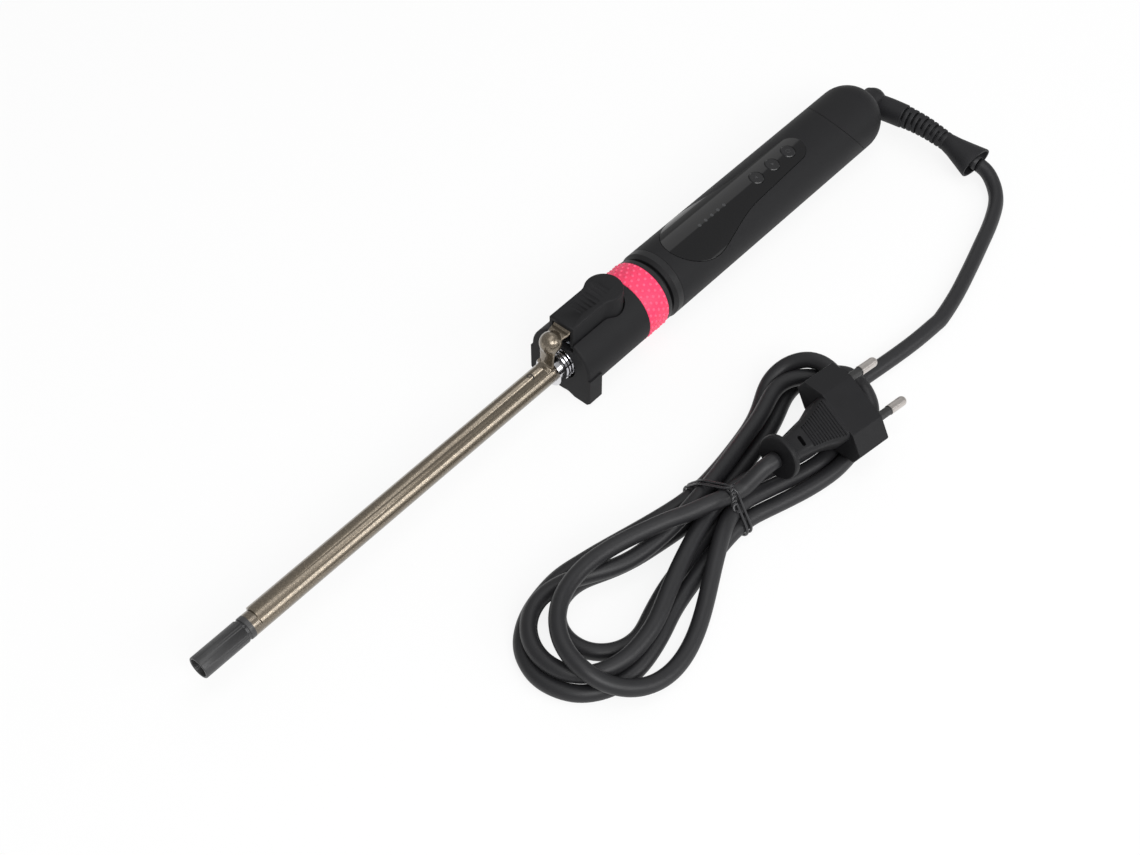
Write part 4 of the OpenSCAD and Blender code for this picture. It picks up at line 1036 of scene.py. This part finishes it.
gloss_skin = finish("gloss_black", (0.006, 0.006, 0.0065), 0.08,
                    {"Cloud size": 60, "Roughness spread": 0.02, "Colour spread": 0.05,
                     "Relief": 0.000002}, {"Specular IOR Level": 0.4})
coat(gloss_skin, "control_panel")
button_skin = finish("button_gloss", (0.009, 0.009, 0.01), 0.24,
                     {"Cloud size": 300, "Roughness spread": 0.04, "Relief": 0.000004},
                     {"Specular IOR Level": 0.4})
coat(button_skin, "power_button", "heat_up_button", "heat_down_button")
mark_grey = finish("button_mark", (0.03, 0.03, 0.032), 0.5, {"Cloud size": 900})
panel_turn = math.radians(8.5)
mark_r, mark_depth, mark_sunk = 0.0009, 0.00022, 0.00006
press_way = Vector((0, -math.sin(panel_turn), math.cos(panel_turn)))
# The arrows on the heat keys point along the handle, away from each other
for button, body, arrow_turn in (("power_button", "power_key", None),
                                 ("heat_up_button", "heat_up_key", -math.pi / 2),
                                 ("heat_down_button", "heat_down_key", math.pi / 2)):
    button_low, button_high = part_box(button)
    face_up = max((nodes[button].matrix_world @ v.co - Vector((0, 0, barrel_axis_z))).dot(press_way)
                  for v in nodes[button].data.vertices)
    if arrow_turn is None:
        mark = primitive(bpy.ops.mesh.primitive_torus_add, major_radius=mark_r, major_segments=32,
                         minor_radius=mark_depth / 2, minor_segments=8, location=(0, 0, 0))
        join_to(mark, primitive(bpy.ops.mesh.primitive_cube_add, size=1, location=(0.0008, 0, 0),
                                scale=(0.0009, mark_depth, mark_depth)))
    else:
        mark = primitive(bpy.ops.mesh.primitive_cylinder_add, vertices=3, radius=mark_r,
                         depth=mark_depth, location=(0, 0, 0), rotation=(0, 0, arrow_turn))
    mark.name = body + "_mark"
    mark.data.transform(Matrix.Translation(((button_low.x + button_high.x) / 2, 0, barrel_axis_z))
                        @ Matrix.Rotation(panel_turn, 4, "X")
                        @ Matrix.Translation((0, 0, face_up - mark_sunk)))
    coat(mark_grey, mark)
    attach(mark, body)
coat(finish("light_guide", (0.035, 0.036, 0.038), 0.3, {"Cloud size": 1500}), "light_windows")
coat(finish("led_resin", (0.8, 0.82, 0.84), 0.2, {"Cloud size": 1500}), "indicator_leds")

# ---------------------------------------------------------------- inside the handle
# Circuit board on its tray with switches and power parts, and the swivel's brush holder.

board_mask = finish("board_mask", (0.02, 0.12, 0.05), 0.3,
                    {"Colour spread": 0.2, "Cloud size": 300})
coat(board_mask, "circuit_board")
coat(finish("switch_body", (0.07, 0.075, 0.08), 0.5, {"Cloud size": 500}), "button_switches")
coat(finish("component", (0.04, 0.045, 0.05), 0.45, {"Cloud size": 500}), "power_components")
coat(lock_skin, "board_tray")
coat(hinge_steel, "board_screws")
coat(finish("holder_phenolic", (0.06, 0.05, 0.04), 0.6, {"Colour spread": 0.2}), "brush_holder")
brush_carbon = finish("brush_carbon", (0.05, 0.05, 0.05), 0.55, {"Cloud size": 900},
                      {"Metallic": 0.3})
coat(brush_carbon, "brushes")

# ---------------------------------------------------------------- swivel
# Hollow shaft with a round elbow that turns in the end cap and leads the cord out sideways.

coat(lock_skin, "swivel_shaft")
